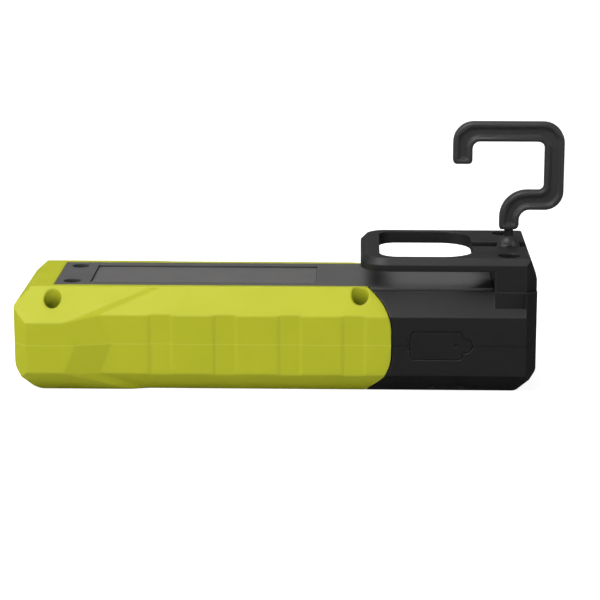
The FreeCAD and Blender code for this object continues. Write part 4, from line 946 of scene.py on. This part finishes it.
@dataclass
class FrontWindow:
    """Clear front window over a white reflector and a yellow light source."""

    columns: int = 9
    rows: int = 6
    chip: float = 1.3 * MM
    height: float = 0.12 * MM
    margin: float = 2.2 * MM
    rim_share: float = 0.2      # of the chip's width
    dish_share: float = 0.4     # of the chip's height

    def build(self) -> None:
        """Model the light source's chips and dress the window."""
        Workshop.dress(CLEAR, "lens", "charge_light_pipe")
        Workshop.dress(BEZEL, "lens_bezel")
        Workshop.dress(RUBBER, "lens_gasket")
        Workshop.dress(WHITE, "reflector")
        Workshop.dress(PHOSPHOR, "cob_led")
        Workshop.dress(BOARD, "led_board")
        Workshop.dress(ALUMINIUM, "heat_sink")
        Workshop.dress(OXIDE_STEEL, "led_screws")
        self.chips()

    def chips(self) -> None:
        """Model one chip and copy it over the light source."""
        low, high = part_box("cob_led")
        size = Vector((self.chip, self.chip, self.height))
        first = Vector((low.x + self.margin, low.y + self.margin, low.z)) - size / 2
        first.z = low.z - self.height
        chip = Workshop.block("chip", first, first + size)
        with Workshop.editing(chip):
            Workshop.pick_faces(chip, lambda _, normal: normal.z < -SAME_WAY)
            bpy.ops.mesh.inset(thickness=self.chip * self.rim_share,
                               depth=self.height * self.dish_share)
        step_x = (high.x - low.x - 2 * self.margin) / (self.columns - 1)
        step_y = (high.y - low.y - 2 * self.margin) / (self.rows - 1)
        chips = [chip]
        for column in range(self.columns):
            for row in range(self.rows):
                if column or row:
                    chips.append(Workshop.copy(chip, Vector((column * step_x, row * step_y, 0))))
        whole = Workshop.join("light_source_chips", chips)
        Workshop.hand_over(whole, Body.LIGHT, "phosphor", PHOSPHOR)


@dataclass
class PowerButton:
    """Rubber push button with a raised ring on its cap."""

    ring_radius: float = 2.6 * MM
    ring_width: float = 0.6 * MM
    ring_height: float = 0.2 * MM
    ring_round: float = 0.08 * MM

    def build(self) -> None:
        """Model the raised ring and dress the button and its switch."""
        Workshop.dress(RUBBER, "power_button")
        Workshop.dress(CHIP, "button_collar", "tact_switch")
        Workshop.dress(BOARD, "switch_board")
        low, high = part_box("power_button")
        centre = (low + high) / 2
        foot = Vector((centre.x, centre.y, low.z - self.ring_height))
        ring = Workshop.disc("button_ring", foot, self.ring_radius, self.ring_height * 1.5)
        with Workshop.editing(ring):
            Workshop.pick_faces(ring, lambda _, normal: abs(normal.z) > SAME_WAY)
            bpy.ops.mesh.inset(thickness=self.ring_width)
            bpy.ops.mesh.bridge_edge_loops()
        Workshop.round_off(ring, self.ring_round, segments=2)
        Workshop.hand_over(ring, Body.BUTTON, "black_rubber", RUBBER)


@dataclass
class Internals:
    """Cells, tray, contacts, leads and the control board."""

    def dress(self) -> None:
        """Give the inner parts their finishes."""
        Workshop.dress(WRAP, "battery_cells")
        Workshop.dress(CHIP, "battery_tray", "board_parts")
        Workshop.dress(NICKEL, "battery_contacts")
        Workshop.dress(WIRE, "battery_leads")
        Workshop.dress(BOARD, "control_board")


# ------------------------------------------------------------------- studio
@dataclass(frozen=True)
class Softbox:
    """One rectangular area light."""

    name: str
    place: tuple[float, float, float]
    size: tuple[float, float]
    watts: float

    def add(self, aim: Vector) -> None:
        """Hang the light and turn it to face a point.

        Args:
            aim: The point, in metres.
        """
        bpy.ops.object.light_add(type="AREA", location=self.place)
        lamp = bpy.context.object
        lamp.name = self.name
        lamp.data.shape = "RECTANGLE"
        lamp.data.size, lamp.data.size_y = self.size
        lamp.data.energy = self.watts
        lamp.rotation_euler = (aim - Vector(self.place)).to_track_quat("-Z", "Y").to_euler()


SOFTBOXES = (
    Softbox("key", (-0.5, -0.8, 1.2), (1.0, 0.8), 12.4),
    Softbox("overhead", (-0.3, 0.15, 1.35), (1.4, 0.6), 8.0),
    Softbox("left_fill", (-1.5, -0.5, 0.6), (0.7, 0.7), 4.5),
    Softbox("right_fill", (1.3, -0.8, 0.5), (0.7, 0.7), 4.0),
    Softbox("front_fill", (0.3, -1.7, 0.2), (1.6, 0.35), 1.5),
)


@dataclass(frozen=True)
class SkyRamp:
    """How the surrounding light changes along one axis."""

    axis: str
    span: tuple[float, float]
    strength: tuple[float, float]


SKY_RAMPS = (
    SkyRamp("Z", (-0.3, 0.8), (0.30, 0.50)),
    SkyRamp("Y", (0.2, 1.0), (0.0, 2.4)),
)


@dataclass
class Studio:
    """Floor, lights and camera."""

    azimuth_deg: float = 1.58
    elevation_deg: float = 13.5
    distance: float = 0.826
    lens_mm: float = 128.7
    aim: tuple[float, float, float] = (0.0086, 0.0, 0.02895)
    light_aim: tuple[float, float, float] = (0.0, 0.0, 0.02)
    clip: tuple[float, float] = (0.01, 50.0)
    floor_size: float = 14.0
    floor_drop: float = 0.1 * MM
    floor_shade: float = 0.65
    floor_glow: float = 0.9

    def build(self) -> None:
        """Add everything that stands round the light."""
        self.add_floor()
        self.add_world()
        for softbox in SOFTBOXES:
            softbox.add(Vector(self.light_aim))
        self.add_camera()

    def add_floor(self) -> None:
        """Add a pale floor under the light. Its glow shows only to the camera."""
        bpy.ops.mesh.primitive_plane_add(size=self.floor_size, location=(0, 0, -self.floor_drop))
        floor = bpy.context.object
        floor.name = "floor"
        graph = NodeGraph("floor_white")
        shader = graph.shader
        shader.inputs["Base Color"].default_value = (*[self.floor_shade] * 3, 1)
        shader.inputs["Roughness"].default_value = 1.0
        shader.inputs["Specular IOR Level"].default_value = 0.0
        shader.inputs["Emission Color"].default_value = (1, 1, 1, 1)
        seen = graph.add("ShaderNodeLightPath").outputs["Is Camera Ray"]
        graph.link(graph.sums("MULTIPLY", seen, self.floor_glow), shader.inputs["Emission Strength"])
        floor.data.materials.append(graph.made)
        floor.visible_glossy = False
        floor.visible_shadow = False

    def add_world(self) -> None:
        """Add soft light all round, brighter above and behind."""
        world = bpy.data.worlds.new("studio")
        bpy.context.scene.world = world
        world.use_nodes = True
        nodes = world.node_tree.nodes
        links = world.node_tree.links
        coords = nodes.new("ShaderNodeTexCoord")
        split = nodes.new("ShaderNodeSeparateXYZ")
        links.new(coords.outputs["Generated"], split.inputs[0])
        total = nodes.new("ShaderNodeMath")
        total.operation = "ADD"
        for slot, sky in enumerate(SKY_RAMPS):
            ramp = nodes.new("ShaderNodeMapRange")
            ramp.inputs["From Min"].default_value, ramp.inputs["From Max"].default_value = sky.span
            ramp.inputs["To Min"].default_value, ramp.inputs["To Max"].default_value = sky.strength
            links.new(split.outputs[sky.axis], ramp.inputs["Value"])
            links.new(ramp.outputs[0], total.inputs[slot])
        links.new(total.outputs[0], nodes["Background"].inputs["Strength"])

    def add_camera(self) -> None:
        """Add the camera at its viewing angle."""
        azimuth = math.radians(self.azimuth_deg)
        elevation = math.radians(self.elevation_deg)
        back = Vector((
            math.sin(azimuth) * math.cos(elevation),
            -math.cos(azimuth) * math.cos(elevation),
            math.sin(elevation),
        ))
        place = Vector(self.aim) + back * self.distance
        bpy.ops.object.camera_add(location=place, rotation=(-back).to_track_quat("-Z", "Y").to_euler())
        camera = bpy.context.object
        camera.data.lens = self.lens_mm
        camera.data.clip_start, camera.data.clip_end = self.clip
        bpy.context.scene.camera = camera


def main() -> None:
    """Build the studio and every sub-assembly."""
    logging.basicConfig(level=logging.INFO, format="%(message)s")
    bpy.context.scene.view_settings.view_transform = "Standard"
    bpy.ops.object.select_all(action="DESELECT")
    Studio().build()
    GripShells().dress()
    HeadHousing().dress()
    GRIP_SCREWS.build()
    PANEL_SCREWS.build()
    CarryRing(BRACKET_SCREWS).build()
    SwivelHook().build()
    PortFlap().dress()
    FrontWindow().build()
    PowerButton().build()
    Internals().dress()


if __name__ == "__main__":
    main()
